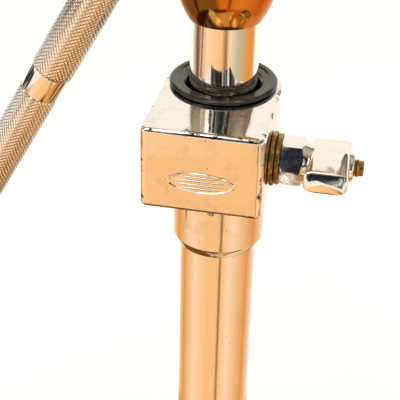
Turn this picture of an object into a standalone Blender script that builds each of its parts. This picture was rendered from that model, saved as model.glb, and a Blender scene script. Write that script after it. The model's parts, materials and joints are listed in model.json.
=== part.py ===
# Timbales on a folding tripod stand: two single-headed steel drums on a crossbar, a height
# clamp with a winged cotter bolt, a tilter, and a knurled rod that holds a bell.
# Metres, +Z up. The clamp's badge faces -Y and its wing nut points to +X.
import math

import bmesh
import bpy
from mathutils import Matrix, Vector

MM = 0.001
GAP = 0.3 * MM              # clearance between pieces that touch
FINE = 28                   # sides of the tubes
DRUM_SIDES = 44             # sides of shells, heads and hoops
X_AXIS = Vector((1, 0, 0))
Y_AXIS = Vector((0, 1, 0))
Z_AXIS = Vector((0, 0, 1))

POST_Y = -84.7 * MM        # puts the centre of the whole stand's box on the origin

# Height clamp, measured from its top face
CLAMP_TOP = 600 * MM
CLAMP_WIDTH = 44 * MM
CLAMP_HEIGHT = 32 * MM
CLAMP_FRONT = 41 * MM       # front face to post axis
CLAMP_EDGE = 1.6 * MM
SOCKET_DEPTH = 8 * MM
LOWER_TUBE_R = 15.0 * MM
LOWER_TUBE_WALL = 1.4 * MM
SKIRT_R = 17.95 * MM        # round skirt under the clamp block, down over the lower tube
SKIRT_LENGTH = 35 * MM
SKIRT_CONE = 4 * MM
SKIRT_END_R = 16.1 * MM
TUBE_BOTTOM = 72 * MM
UPPER_TUBE_R = 12.7 * MM
UPPER_TUBE_WALL = 1.3 * MM
UPPER_TUBE_REACH = 260 * MM  # length inside the lower tube
SLEEVE_R = 15.1 * MM
SLEEVE_DEPTH = 21 * MM
FLANGE_R = 20.1 * MM
FLANGE_THICK = 1.9 * MM
COTTER_Y = -21 * MM
COTTER_DROP = 17.6 * MM
COTTER_R = 6.2 * MM
BOLT_R = 3.4 * MM
BADGE_WIDTH = 25 * MM
BADGE_HEIGHT = 8 * MM
BADGE_DROP = 19.5 * MM

# Tilter, measured from the clamp's top face
CUP_BOTTOM = 30.5 * MM
CUP_TOP = 68 * MM
TILT_HEIGHT = 92 * MM
BELL_HEIGHT = 111 * MM
BAR_HEIGHT = 130 * MM
BAR_R = 12.7 * MM
EAR_R = 12 * MM
EAR_INNER = 8 * MM
EAR_OUTER = 13.5 * MM
SADDLE_R = 19 * MM
SADDLE_HALF = 15 * MM

# Bell rod: it hangs beside the clamp from a swivel on the tilter's front
ROD_Y = -32 * MM
ROD_LEAN = math.radians(29.7)
ROD_UPPER_R = 7.6 * MM
ROD_LOWER_R = 7.1 * MM
ROD_NECK_R = 6.95 * MM
ROD_ABOVE = 35 * MM
ROD_UPPER_BELOW = 111 * MM
ROD_NECK = 11 * MM
ROD_LOWER = 160 * MM

# Drums
SHELL_DEPTH = 165 * MM
SHELL_WALL = 1.5 * MM
SHELL_BOTTOM = CLAMP_TOP + 90 * MM
LEFT_R = 165 * MM
RIGHT_R = 178 * MM
LEFT_GAP = 81 * MM          # post axis to the shell's near side
RIGHT_GAP = 55 * MM
ROD_CIRCLE = 14 * MM        # tension rods stand this far outside the shell
LUGS_PER_DRUM = 5

# Tripod
FOLD_ANGLE = math.radians(52)  # leg to post at rest
LEG_LENGTH = 400 * MM
LINK_LENGTH = 120 * MM      # leg pivot to brace pivot, and the brace's own length
PIVOT_REACH = 30 * MM
LEG_PIVOT_Z = 261 * MM
LEG_R = 7 * MM
FOOT_R = 10.5 * MM
LEG_BEARINGS = [math.radians(degrees) for degrees in (90, 210, 330)]


# ---------------------------------------------------------------- scene and materials

for old in list(bpy.data.objects):
    bpy.data.objects.remove(old, do_unlink=True)

post = bpy.data.objects.new("post_axis", None)
bpy.context.scene.collection.objects.link(post)
post.location = (0, POST_Y, 0)


def makeMaterial(name, colour, roughness, metallic):
    material = bpy.data.materials.new(name)
    material.use_nodes = True
    shader = material.node_tree.nodes["Principled BSDF"]
    shader.inputs["Base Color"].default_value = (*colour, 1)
    shader.inputs["Roughness"].default_value = roughness
    shader.inputs["Metallic"].default_value = metallic
    return material


chrome = makeMaterial("chrome", (0.80, 0.72, 0.62), 0.12, 1)
steel = makeMaterial("polished_steel", (0.75, 0.73, 0.70), 0.2, 1)
brass = makeMaterial("aged_brass", (0.55, 0.42, 0.18), 0.35, 1)
blackNylon = makeMaterial("black_nylon", (0.02, 0.02, 0.02), 0.3, 0)
rubber = makeMaterial("black_rubber", (0.03, 0.03, 0.03), 0.8, 0)
headFilm = makeMaterial("coated_film", (0.85, 0.84, 0.80), 0.5, 0)


# ---------------------------------------------------------------- building blocks

def addObject(name, mesh, material=None):
    item = bpy.data.objects.new(name, mesh)
    bpy.context.scene.collection.objects.link(item)
    item.parent = post
    if material:
        mesh.materials.append(material)
    return item


def meshFrom(bm, name, smooth=True):
    """Closes a bmesh into a mesh, with outward normals."""
    bmesh.ops.remove_doubles(bm, verts=bm.verts, dist=1e-7)
    bmesh.ops.recalc_face_normals(bm, faces=bm.faces)
    for face in bm.faces:
        face.smooth = smooth and len(face.verts) < 5
    mesh = bpy.data.meshes.new(name)
    bm.to_mesh(mesh)
    bm.free()
    return mesh


def axisMatrix(axis, origin=(0, 0, 0)):
    """Turns local +Z onto the axis and moves it to the origin point."""
    turn = Vector(axis).to_track_quat("Z", "Y").to_matrix().to_4x4()
    return Matrix.Translation(origin) @ turn


def lathe(name, profile, material=None, sides=FINE, matrix=Matrix()):
    """Spins a closed (radius, height) outline round local Z."""
    bm = bmesh.new()
    points = [bm.verts.new((radius, 0, height)) for radius, height in profile]
    edges = [bm.edges.new((a, b)) for a, b in zip(points, points[1:] + points[:1])]
    bmesh.ops.spin(bm, geom=points + edges, cent=(0, 0, 0), axis=(0, 0, 1),
                   angle=math.tau, steps=sides, use_merge=True)
    bmesh.ops.remove_doubles(bm, verts=bm.verts, dist=1e-7)
    bmesh.ops.dissolve_degenerate(bm, edges=bm.edges, dist=1e-7)
    item = addObject(name, meshFrom(bm, name), material)
    item.matrix_local = matrix
    return item


def rod(name, start, end, radius, material=None, sides=16):
    """A solid round bar between two points, with its origin at the start."""
    start, end = Vector(start), Vector(end)
    length = (end - start).length
    outline = [(0, 0), (radius, 0), (radius, length), (0, length)]
    return lathe(name, outline, material, sides, axisMatrix(end - start, start))


def prism(name, outline, low, high, material=None, matrix=Matrix()):
    """Extrudes a plan outline from one local height to another."""
    bm = bmesh.new()
    base = bm.faces.new([bm.verts.new((x, y, low)) for x, y in outline])
    top = bmesh.ops.extrude_face_region(bm, geom=[base])["geom"]
    bmesh.ops.translate(bm, vec=(0, 0, high - low),
                        verts=[v for v in top if isinstance(v, bmesh.types.BMVert)])
    item = addObject(name, meshFrom(bm, name, smooth=False), material)
    item.matrix_local = matrix
    return item


def block(name, centre, size, material=None, matrix=Matrix()):
    x, y, z = (side / 2 for side in size)
    outline = [(-x, -y), (x, -y), (x, y), (-x, y)]
    return prism(name, outline, -z, z, material, matrix @ Matrix.Translation(centre))


def bevelled(item, width, segments=2):
    modifier = item.modifiers.new("edges", "BEVEL")
    modifier.width = width
    modifier.segments = segments
    modifier.limit_method = "ANGLE"
    modifier.angle_limit = math.radians(40)
    return item


def combine(item, helpers, operation="DIFFERENCE", solver="EXACT"):
    """Cuts helpers from the item or joins them to it, and hides them."""
    for helper in helpers:
        helper.hide_render = True
        helper.display_type = "WIRE"
        modifier = item.modifiers.new(helper.name, "BOOLEAN")
        modifier.operation = operation
        modifier.solver = solver
        modifier.object = helper
    return item


def arcPoints(radius, start, end, steps, centre=(0, 0)):
    """Points on an arc in the plan, from one angle to another in degrees."""
    angles = [math.radians(start + (end - start) * i / steps) for i in range(steps + 1)]
    return [(centre[0] + radius * math.cos(a), centre[1] + radius * math.sin(a)) for a in angles]


# ---------------------------------------------------------------- height clamp

def makeLowerTube():
    top = CLAMP_TOP - CLAMP_HEIGHT + SOCKET_DEPTH - GAP
    inner = LOWER_TUBE_R - LOWER_TUBE_WALL
    lathe("lower_tube", [
        (inner, TUBE_BOTTOM), (LOWER_TUBE_R, TUBE_BOTTOM), (LOWER_TUBE_R, top), (inner, top)], chrome)
    plugHeight = 8 * MM
    lathe("tube_plug", [
        (0, TUBE_BOTTOM - 4 * MM), (LOWER_TUBE_R, TUBE_BOTTOM - 4 * MM),
        (LOWER_TUBE_R, TUBE_BOTTOM - GAP), (inner - GAP, TUBE_BOTTOM - GAP),
        (inner - GAP, TUBE_BOTTOM + plugHeight), (0, TUBE_BOTTOM + plugHeight)], blackNylon)


def makeClampBlock():
    half = CLAMP_WIDTH / 2
    bottom = CLAMP_TOP - CLAMP_HEIGHT
    corner = 2.2 * MM
    front = -CLAMP_FRONT
    outline = arcPoints(half, 0, 180, 16)
    outline += arcPoints(corner, 180, 270, 3, (-half + corner, front + corner))
    outline += arcPoints(corner, 270, 360, 3, (half - corner, front + corner))
    clamp = bevelled(prism("clamp_block", outline, bottom, CLAMP_TOP, chrome), CLAMP_EDGE)
    boreRadius = SLEEVE_R + GAP
    skirtLow = bottom - SKIRT_LENGTH
    skirt = lathe("join_skirt", [
        (0, skirtLow - SKIRT_CONE), (SKIRT_END_R, skirtLow - SKIRT_CONE), (SKIRT_R, skirtLow),
        (SKIRT_R, bottom + 2 * MM), (0, bottom + 2 * MM)], None, FINE)
    combine(clamp, [skirt], "UNION")
    bore = rod("cut_bore", (0, 0, skirtLow - 9 * MM), (0, 0, CLAMP_TOP + 5 * MM), boreRadius, sides=FINE)
    height = CLAMP_TOP - COTTER_DROP
    cotterBore = rod("cut_cotter", (-half - 5 * MM, COTTER_Y, height), (9 * MM, COTTER_Y, height),
                     COTTER_R + GAP, sides=20)
    boltBore = rod("cut_bolt", (5 * MM, COTTER_Y, height), (half + 5 * MM, COTTER_Y, height),
                   BOLT_R + GAP)
    combine(clamp, [bore, cotterBore, boltBore])
    badge = lathe("join_badge", [
        (0, -2 * MM), (1, -2 * MM), (1, 0.35 * MM), (0.94, 0.6 * MM), (0.86, 0.3 * MM),
        (0, 0.3 * MM)], sides=20)
    flat = Matrix.Diagonal((BADGE_WIDTH / 2, BADGE_HEIGHT / 2, 1, 1))
    badge.data.transform(flat)
    badge.matrix_local = Matrix.Translation((0, front, CLAMP_TOP - BADGE_DROP)) @ Matrix.Rotation(
        math.pi / 2, 4, "X")
    combine(clamp, [badge], "UNION")


def makeBushing():
    low = CLAMP_TOP + GAP
    high = low + FLANGE_THICK
    inner = UPPER_TUBE_R + 0.25 * MM
    lathe("flanged_bushing", [
        (SLEEVE_R, CLAMP_TOP - SLEEVE_DEPTH), (SLEEVE_R, low), (FLANGE_R - 0.6 * MM, low),
        (FLANGE_R, low + 0.6 * MM), (FLANGE_R, high - 0.7 * MM), (FLANGE_R - 0.7 * MM, high),
        (FLANGE_R - 2.2 * MM, high - 0.35 * MM), (14.4 * MM, high - 0.35 * MM),
        (13.7 * MM, high - 1.2 * MM), (inner, high - 4 * MM), (inner, CLAMP_TOP - SLEEVE_DEPTH)],
        blackNylon)


def makeCotterBolt():
    """The bolt's thick end is scooped to press on the sleeve; its thin end carries the wing nut."""
    height = CLAMP_TOP - COTTER_DROP
    half = CLAMP_WIDTH / 2
    tip = half + 33.5 * MM
    start = -half - 2.2 * MM
    shoulder = 7 * MM
    profile = [(0, 0), (COTTER_R - 1 * MM, 0), (COTTER_R, 1 * MM), (COTTER_R, shoulder - start),
               (BOLT_R - 0.2 * MM, shoulder - start)]
    pitch = 1.25 * MM
    height0 = tip - start - 6.4 * pitch
    for turn in range(5):
        profile.append((BOLT_R - 0.45 * MM, height0 + turn * pitch))
        profile.append((BOLT_R - 0.02 * MM, height0 + (turn + 0.5) * pitch))
    profile += [(BOLT_R - 0.45 * MM, height0 + 5 * pitch), (BOLT_R - 1 * MM, tip - start), (0, tip - start)]
    bolt = lathe("cotter_bolt", profile, brass, 14, axisMatrix(X_AXIS, (start, COTTER_Y, height)))
    scoop = rod("cut_scoop", (0, 0, height - 12 * MM), (0, 0, height + 12 * MM),
                SLEEVE_R + 0.35 * MM, sides=FINE)
    combine(bolt, [scoop])


def makeWashers():
    height = CLAMP_TOP - COTTER_DROP
    start = CLAMP_WIDTH / 2 + GAP
    hole = BOLT_R + GAP
    for name, offset, radius in (("inner_washer", 0, 10 * MM), ("outer_washer", 1.9 * MM, 9.4 * MM)):
        thick = 1.6 * MM
        lathe(name, [(hole, 0), (radius - 0.3 * MM, 0), (radius, 0.3 * MM), (radius, thick - 0.3 * MM),
                     (radius - 0.3 * MM, thick), (hole, thick)], brass, 20,
              axisMatrix(X_AXIS, (start + offset, COTTER_Y, height)))


def wingBar(name, centre, span, width, thick, matrix):
    """The grip of a wing screw: a bar along local Y with swollen, rounded ends."""
    half, waist = span / 2, 0.78
    outline = []
    for sign in (1, -1):
        outline.append((sign * width / 2 * 0.94, -sign * half * 0.94))
        outline.append((sign * width / 2, -sign * half * 0.72))
        outline.append((sign * width / 2 * waist, 0))
        outline.append((sign * width / 2, sign * half * 0.72))
        outline.append((sign * width / 2 * 0.94, sign * half * 0.94))
        outline.append((sign * width / 2 * 0.6, sign * half))
        outline.append((-sign * width / 2 * 0.6, sign * half))
    bar = prism(name, outline, -thick / 2, thick / 2, None,
                matrix @ Matrix.Translation(centre) @ Matrix.Rotation(math.pi / 2, 4, "Y"))
    return bevelled(bar, thick * 0.22, 1)


def makeWingNut(name, origin, axis):
    """The large wing nut of the clamp and of the tilter: hexagon, cone, then a wide bar."""
    matrix = axisMatrix(axis, origin)
    outline = [(0, 0), (7.9 * MM, 0), (7.9 * MM, 8 * MM), (6.2 * MM, 11.5 * MM), (6.2 * MM, 24 * MM),
               (5.4 * MM, 26.4 * MM), (0, 26.4 * MM)]
    nut = lathe(name, outline, chrome, 16, matrix)
    level = matrix @ Matrix.Rotation(math.pi / 2, 4, "Z")
    bar = wingBar("join_" + name, (0, 0, 17 * MM), 30 * MM, 15.5 * MM, 7 * MM, level)
    hole = lathe("cut_" + name, [(0, -5 * MM), (BOLT_R + GAP, -5 * MM), (BOLT_R + GAP, 40 * MM),
                                 (0, 40 * MM)], None, 16, matrix)
    combine(nut, [bar], "UNION")
    combine(nut, [hole])


def makeWingScrew(name, tip, axis, shaft):
    """A small wing screw; the tip presses on a tube and the axis points away from it."""
    matrix = axisMatrix(axis, tip)
    outline = [(0, 0), (3 * MM, 0), (3 * MM, shaft), (6 * MM, shaft), (6 * MM, shaft + 6 * MM),
               (4.6 * MM, shaft + 16 * MM), (0, shaft + 16 * MM)]
    screw = lathe(name, outline, chrome, 14, matrix)
    bar = wingBar("join_" + name, (0, 0, shaft + 11 * MM), 28 * MM, 11 * MM, 5 * MM, matrix)
    return combine(screw, [bar], "UNION")


# ---------------------------------------------------------------- upper tube and tilter

def makeUpperTube():
    inner = UPPER_TUBE_R - UPPER_TUBE_WALL
    low = CLAMP_TOP - UPPER_TUBE_REACH
    high = CLAMP_TOP + CUP_TOP - 5 * MM
    lathe("upper_tube", [(inner, low), (UPPER_TUBE_R, low), (UPPER_TUBE_R, high), (inner, high)], chrome)


def makeTilterBase():
    """A cup over the tube's top end, with two ears that carry the tilt bolt."""
    bore = UPPER_TUBE_R + GAP
    low, high = CLAMP_TOP + CUP_BOTTOM, CLAMP_TOP + CUP_TOP
    base = lathe("tilter_base", [
        (bore, low), (16.2 * MM, low), (17.3 * MM, low + 3.6 * MM), (18.3 * MM, low + 12 * MM),
        (18.8 * MM, low + 24 * MM), (17.6 * MM, high - 1.5 * MM), (16 * MM, high), (0, high),
        (0, high - 4 * MM), (bore, high - 4 * MM)], chrome)
    centre = CLAMP_TOP + TILT_HEIGHT
    for side in (1, -1):
        ear = [(-EAR_R, CUP_TOP - 3 * MM), (EAR_R, CUP_TOP - 3 * MM)]
        ear += arcPoints(EAR_R, 0, 180, 10, (0, TILT_HEIGHT))
        upright = axisMatrix(X_AXIS, (side * EAR_INNER if side > 0 else -EAR_OUTER, 0, CLAMP_TOP))
        helper = prism("join_ear_%d" % (side > 0), ear, 0, EAR_OUTER - EAR_INNER, None, upright)
        combine(base, [helper], "UNION")
    hole = rod("cut_tilt_bolt", (-20 * MM, 0, centre), (20 * MM, 0, centre), BOLT_R + GAP)
    combine(base, [hole])


def makeTiltBolt():
    centre = CLAMP_TOP + TILT_HEIGHT
    start = -EAR_OUTER - GAP - 4 * MM
    reach = EAR_OUTER + 30 * MM - start
    lathe("tilt_bolt", [(0, 0), (7 * MM, 0), (7.6 * MM, 0.8 * MM), (7.6 * MM, 4 * MM), (BOLT_R, 4 * MM),
                        (BOLT_R, reach), (0, reach)], chrome, 12, axisMatrix(X_AXIS, (start, 0, centre)))
    makeWingNut("tilt_wing_nut", (EAR_OUTER + GAP, 0, centre), X_AXIS)


def makeTilterHead():
    """Tongue between the ears, saddle round the crossbar, and a boss for the bell clamp."""
    tilt = CLAMP_TOP + TILT_HEIGHT
    bar = CLAMP_TOP + BAR_HEIGHT
    half = EAR_INNER - GAP
    head = rod("tilter_head", (-SADDLE_HALF, 0, bar), (SADDLE_HALF, 0, bar), SADDLE_R, chrome, 32)
    disc = rod("join_disc", (-half, 0, tilt), (half, 0, tilt), EAR_R - 1 * MM, sides=24)
    neck = block("join_neck", (0, 0, (tilt + bar) / 2), (2 * half, 15 * MM, bar - tilt - 8 * MM))
    bell = CLAMP_TOP + BELL_HEIGHT
    boss = rod("join_boss", (0, -2 * MM, bell), (0, -19.6 * MM, bell), half - 0.2 * MM, sides=20)
    combine(head, [disc, neck, boss], "UNION")
    bore = rod("cut_bar", (-20 * MM, 0, bar), (20 * MM, 0, bar), BAR_R + GAP, sides=FINE)
    hole = rod("cut_tilt", (-20 * MM, 0, tilt), (20 * MM, 0, tilt), BOLT_R + GAP)
    combine(head, [bore, hole])


def makeCrossbar():
    bar = CLAMP_TOP + BAR_HEIGHT
    left, right = -LEFT_GAP + 3.5 * MM, RIGHT_GAP - 3.5 * MM
    inner = BAR_R - UPPER_TUBE_WALL
    lathe("crossbar", [(inner, 0), (BAR_R, 0), (BAR_R, right - left), (inner, right - left)], chrome,
          FINE, axisMatrix(X_AXIS, (left, 0, bar)))


# ---------------------------------------------------------------- bell rod

def makeBellRod():
    pivot = Vector((0, ROD_Y, CLAMP_TOP + BELL_HEIGHT))
    along = Vector((math.sin(ROD_LEAN), 0, math.cos(ROD_LEAN)))
    matrix = axisMatrix(along, pivot)
    chamfer = 1.2 * MM
    neckTop = -ROD_UPPER_BELOW
    neckBottom = neckTop - ROD_NECK
    end = neckBottom - ROD_LOWER
    lathe("bell_rod", [
        (0, end), (ROD_LOWER_R - chamfer, end), (ROD_LOWER_R, end + chamfer),
        (ROD_LOWER_R, neckBottom - 0.5 * MM), (ROD_NECK_R, neckBottom), (ROD_NECK_R, neckTop - chamfer),
        (ROD_UPPER_R, neckTop), (ROD_UPPER_R, ROD_ABOVE - chamfer), (ROD_UPPER_R - chamfer, ROD_ABOVE),
        (0, ROD_ABOVE)], steel, 24, matrix)
    body = block("bell_clamp", (0, 0, 0), (26 * MM, 18 * MM, 26 * MM), chrome, matrix)
    body.matrix_local = Matrix.Translation(pivot) @ Matrix.Rotation(ROD_LEAN, 4, "Y")
    bevelled(body, 2.5 * MM)
    disc = rod("join_swivel", (0, -19.6 * MM - GAP, pivot.z), (0, -25 * MM, pivot.z), 11 * MM, sides=24)
    combine(body, [disc], "UNION")
    hole = lathe("cut_bell_rod", [(0, -30 * MM), (ROD_UPPER_R + GAP, -30 * MM),
                                  (ROD_UPPER_R + GAP, 30 * MM), (0, 30 * MM)], None, 24, matrix)
    screwTip = pivot + Vector((0, -ROD_UPPER_R - GAP, 0))
    screwHole = rod("cut_bell_screw", pivot, pivot - 20 * MM * Y_AXIS, 3 * MM + GAP, sides=14)
    combine(body, [hole, screwHole])
    makeWingScrew("bell_wing_screw", screwTip, -Y_AXIS, 2.6 * MM)


# ---------------------------------------------------------------- drums

def makeDrum(side, radius, gap, firstLug):
    """One drum: side is 'left' (-X) or 'right' (+X)."""
    sign = 1 if side == "right" else -1
    centre = Vector((sign * (gap + radius), 0, 0))
    low, high = SHELL_BOTTOM, SHELL_BOTTOM + SHELL_DEPTH
    place = Matrix.Translation(centre)
    lathe(side + "_shell", [
        (radius, low), (radius, high), (radius - SHELL_WALL, high), (radius - SHELL_WALL, low + 1.5 * MM),
        (radius - 6 * MM, low + 1.5 * MM), (radius - 6 * MM, low)], steel, DRUM_SIDES, place)
    makeHead(side, radius, high, place)
    makeHoop(side, radius, high, place, firstLug)
    for number in range(LUGS_PER_DRUM):
        angle = firstLug + math.tau * number / LUGS_PER_DRUM
        makeLug("%s_lug_%d" % (side, number + 1), centre, radius, high, angle)
        makeTensionRod("%s_tension_rod_%d" % (side, number + 1), centre, radius, high, angle)
    makeBracket(side, sign, radius, gap, centre)


def makeHead(side, radius, high, place):
    """A tensioned film over the shell's edge, with its hoop moulded round it."""
    lathe(side + "_head", [
        (0, high + 0.8 * MM), (radius + 0.9 * MM, high + 0.8 * MM), (radius + 1.4 * MM, high),
        (radius + 1.4 * MM, high - 7 * MM), (radius + 6 * MM, high - 7 * MM),
        (radius + 6 * MM, high - 13 * MM), (radius + 0.4 * MM, high - 13 * MM),
        (radius + 0.4 * MM, high + GAP), (0, high + GAP)], headFilm, DRUM_SIDES, place)


def makeHoop(side, radius, high, place, firstLug):
    """Steel counterhoop: it presses on the head's hoop, and its flange takes the tension rods."""
    hoop = lathe(side + "_hoop", [
        (radius + 2 * MM, high + 9 * MM), (radius + 3.6 * MM, high + 9 * MM),
        (radius + 3.6 * MM, high - 5.1 * MM), (radius + 8.1 * MM, high - 5.1 * MM),
        (radius + 8.1 * MM, high - 12 * MM), (radius + 20 * MM, high - 12 * MM),
        (radius + 20 * MM, high - 13.8 * MM), (radius + 6.5 * MM, high - 13.8 * MM),
        (radius + 6.5 * MM, high - 6.7 * MM), (radius + 2 * MM, high - 6.7 * MM)], chrome, DRUM_SIDES, place)
    for number in range(LUGS_PER_DRUM):
        angle = firstLug + math.tau * number / LUGS_PER_DRUM
        reach = radius + ROD_CIRCLE
        spot = place.translation + Vector((reach * math.cos(angle), reach * math.sin(angle), high - 13 * MM))
        hole = rod("cut_%s_hoop_%d" % (side, number + 1), spot - 6 * MM * Z_AXIS, spot + 6 * MM * Z_AXIS,
                   3.1 * MM, sides=8)
        combine(hoop, [hole], solver="MANIFOLD")


def makeLug(name, centre, radius, high, angle):
    """A cast lug: a barrel on a neck that meets the shell, drilled from above for its rod."""
    barrel, neck = 6.5 * MM, 5 * MM
    outline = arcPoints(barrel, -130, 130, 8)
    outline += [(-ROD_CIRCLE + 0.4 * MM, neck + 2 * MM), (-ROD_CIRCLE + 0.4 * MM, -neck - 2 * MM)]
    reach = radius + ROD_CIRCLE
    matrix = Matrix.Translation(centre) @ Matrix.Rotation(angle, 4, "Z") @ Matrix.Translation((reach, 0, high))
    lug = bevelled(prism(name, outline, -95 * MM, -42 * MM, chrome, matrix), 1.5 * MM, 1)
    hole = lathe("cut_" + name, [(0, -64 * MM), (2.9 * MM, -64 * MM), (2.9 * MM, -30 * MM),
                                 (0, -30 * MM)], None, 8, matrix)
    combine(lug, [hole])


def makeTensionRod(name, centre, radius, high, angle):
    reach = radius + ROD_CIRCLE
    matrix = Matrix.Translation(centre) @ Matrix.Rotation(angle, 4, "Z") @ Matrix.Translation((reach, 0, high))
    seat = -12 * MM + GAP
    lathe(name, [(0, -62 * MM), (2 * MM, -62 * MM), (2.4 * MM, -61 * MM), (2.4 * MM, seat), (5.4 * MM, seat),
                 (5.4 * MM, seat + 2 * MM), (3.6 * MM, seat + 2.4 * MM), (3.6 * MM, seat + 10 * MM),
                 (0, seat + 10 * MM)], chrome, 8, matrix)


def makeBracket(side, sign, radius, gap, centre):
    """A plate that follows the shell, with a socket that slides over the crossbar's end."""
    bar = CLAMP_TOP + BAR_HEIGHT
    wall = sign * gap
    inward = -sign * X_AXIS
    face = wall - sign * 6 * MM
    depth = 24 * MM
    plate = block(side + "_bracket", (wall - sign * 2 * MM, 0, bar), (8 * MM, 48 * MM, 52 * MM), chrome)
    bevelled(plate, 2 * MM, 1)
    socket = rod("join_%s_socket" % side, (face + sign * 2 * MM, 0, bar),
                 Vector((face, 0, bar)) + depth * inward, 17 * MM, sides=32)
    combine(plate, [socket], "UNION")
    wallCut = rod("cut_%s_wall" % side, centre + Vector((0, 0, bar - 40 * MM)),
                  centre + Vector((0, 0, bar + 40 * MM)), radius + 0.45 * MM, sides=180)
    bore = rod("cut_%s_socket" % side, (wall - sign * 3 * MM, 0, bar),
               Vector((face, 0, bar)) + (depth + 5 * MM) * inward, BAR_R + GAP, sides=FINE)
    middle = face - sign * depth * 0.5
    screwHole = rod("cut_%s_screw" % side, (middle, 0, bar), (middle, 25 * MM, bar), 3 * MM + GAP, sides=14)
    combine(plate, [wallCut, bore, screwHole])
    makeWingScrew(side + "_bracket_screw", (middle, BAR_R + GAP, bar), Y_AXIS, 4.8 * MM)


# ---------------------------------------------------------------- tripod

def bearing(angle, along, across=0.0, height=0.0):
    """A point at a distance along one leg's direction, and across it."""
    return Vector((along * math.cos(angle) - across * math.sin(angle),
                   along * math.sin(angle) + across * math.cos(angle), height))


def collar(name, low, high, pivotHeight, earInner, earThick):
    """A collar round the lower tube, with a pair of ears towards each leg."""
    bore = LOWER_TUBE_R + GAP
    outer = 21 * MM
    ring = lathe(name, [(bore, low), (outer - 1 * MM, low), (outer, low + 1 * MM), (outer, high - 1 * MM),
                        (outer - 1 * MM, high), (bore, high)], chrome, FINE)
    earR = 8 * MM
    root = math.sqrt((bore + 1.5 * MM) ** 2 - earInner ** 2)
    for number, angle in enumerate(LEG_BEARINGS):
        for side in (1, -1):
            plan = [(root - PIVOT_REACH, -earR)]
            plan += arcPoints(earR, -90, 90, 5)
            plan += [(root - PIVOT_REACH, earR)]
            centre = bearing(angle, PIVOT_REACH, 0, pivotHeight)
            frame = Matrix.Translation(centre) @ Matrix.Rotation(angle, 4, "Z")
            stand = frame @ Matrix.Rotation(math.pi / 2, 4, "X")
            low0 = earInner if side > 0 else -earInner - earThick
            ear = prism("join_%s_%d_%d" % (name, number, side > 0), plan, low0, low0 + earThick, None, stand)
            combine(ring, [ear], "UNION")
        reach = earInner + earThick + 5 * MM
        hole = rod("cut_%s_%d" % (name, number), bearing(angle, PIVOT_REACH, -reach, pivotHeight),
                   bearing(angle, PIVOT_REACH, reach, pivotHeight), 2.5 * MM, sides=8)
        combine(ring, [hole])
    return ring


def makeLeg(number, angle):
    """A tubular leg with a flat eye between the collar's ears."""
    pivot = bearing(angle, PIVOT_REACH, 0, LEG_PIVOT_Z)
    down = bearing(angle, math.sin(FOLD_ANGLE)) - math.cos(FOLD_ANGLE) * Z_AXIS
    end = pivot + LEG_LENGTH * down
    tube = rod("leg_%d" % number, pivot + 14 * MM * down, end, LEG_R, chrome, 16)
    plan = arcPoints(7 * MM, 90, 270, 5) + [(22 * MM, -6 * MM), (22 * MM, 6 * MM)]
    frame = Matrix.Translation(pivot) @ Matrix.Rotation(angle, 4, "Z") @ Matrix.Rotation(
        math.pi / 2 - FOLD_ANGLE, 4, "Y") @ Matrix.Rotation(math.pi / 2, 4, "X")
    eye = prism("join_eye_%d" % number, plan, -3 * MM, 3 * MM, None, frame)
    pin = rod("join_leg_pin_%d" % number, bearing(angle, PIVOT_REACH, -7.8 * MM, LEG_PIVOT_Z),
              bearing(angle, PIVOT_REACH, 7.8 * MM, LEG_PIVOT_Z), 2 * MM, sides=8)
    combine(tube, [eye, pin], "UNION")
    boreEnd = end + 1 * MM * down
    foot = rod("foot_%d" % number, end - 28 * MM * down, end + 20 * MM * down, FOOT_R, rubber, 20)
    bore = rod("cut_foot_%d" % number, end - 40 * MM * down, boreEnd, LEG_R + GAP, sides=16)
    floor = block("cut_floor_%d" % number, end + Vector((0, 0, -end.z - 20 * MM)),
                  (80 * MM, 80 * MM, 40 * MM))
    combine(foot, [bore, floor])


def makeBrace(number, angle):
    """Two straps either side of a leg, joined by a barrel at the lower hub."""
    low = LEG_PIVOT_Z - 2 * LINK_LENGTH * math.cos(FOLD_ANGLE)
    pivot = bearing(angle, PIVOT_REACH, 0, low)
    inner, outer = LEG_R + 0.5 * MM, LEG_R + 2.7 * MM
    barrel = rod("brace_%d" % number, bearing(angle, PIVOT_REACH, -outer, low),
                 bearing(angle, PIVOT_REACH, outer, low), 5 * MM, chrome, 16)
    frame = Matrix.Translation(pivot) @ Matrix.Rotation(angle, 4, "Z") @ Matrix.Rotation(
        FOLD_ANGLE - math.pi / 2, 4, "Y") @ Matrix.Rotation(math.pi / 2, 4, "X")
    width = 5.5 * MM
    plan = arcPoints(width, 90, 270, 4) + arcPoints(width, -90, 90, 4, (LINK_LENGTH, 0))
    joined = []
    for side in (1, -1):
        low0 = inner if side > 0 else -outer
        joined.append(prism("join_strap_%d_%d" % (number, side > 0), plan, low0, low0 + outer - inner,
                            None, frame))
        rivet = frame @ Matrix.Translation((LINK_LENGTH, 0, side * (outer + inner) / 2))
        joined.append(lathe("join_rivet_%d_%d" % (number, side > 0),
                            [(0, 0), (3.6 * MM, 0), (3.6 * MM, 2.2 * MM), (2.2 * MM, 3.2 * MM), (0, 3.2 * MM)],
                            None, 8, rivet if side > 0 else rivet @ Matrix.Rotation(math.pi, 4, "X")))
    reach = outer + 4.2 * MM
    joined.append(rod("join_brace_pin_%d" % number, bearing(angle, PIVOT_REACH, -reach, low),
                      bearing(angle, PIVOT_REACH, reach, low), 2 * MM, sides=8))
    combine(barrel, joined, "UNION")


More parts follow.
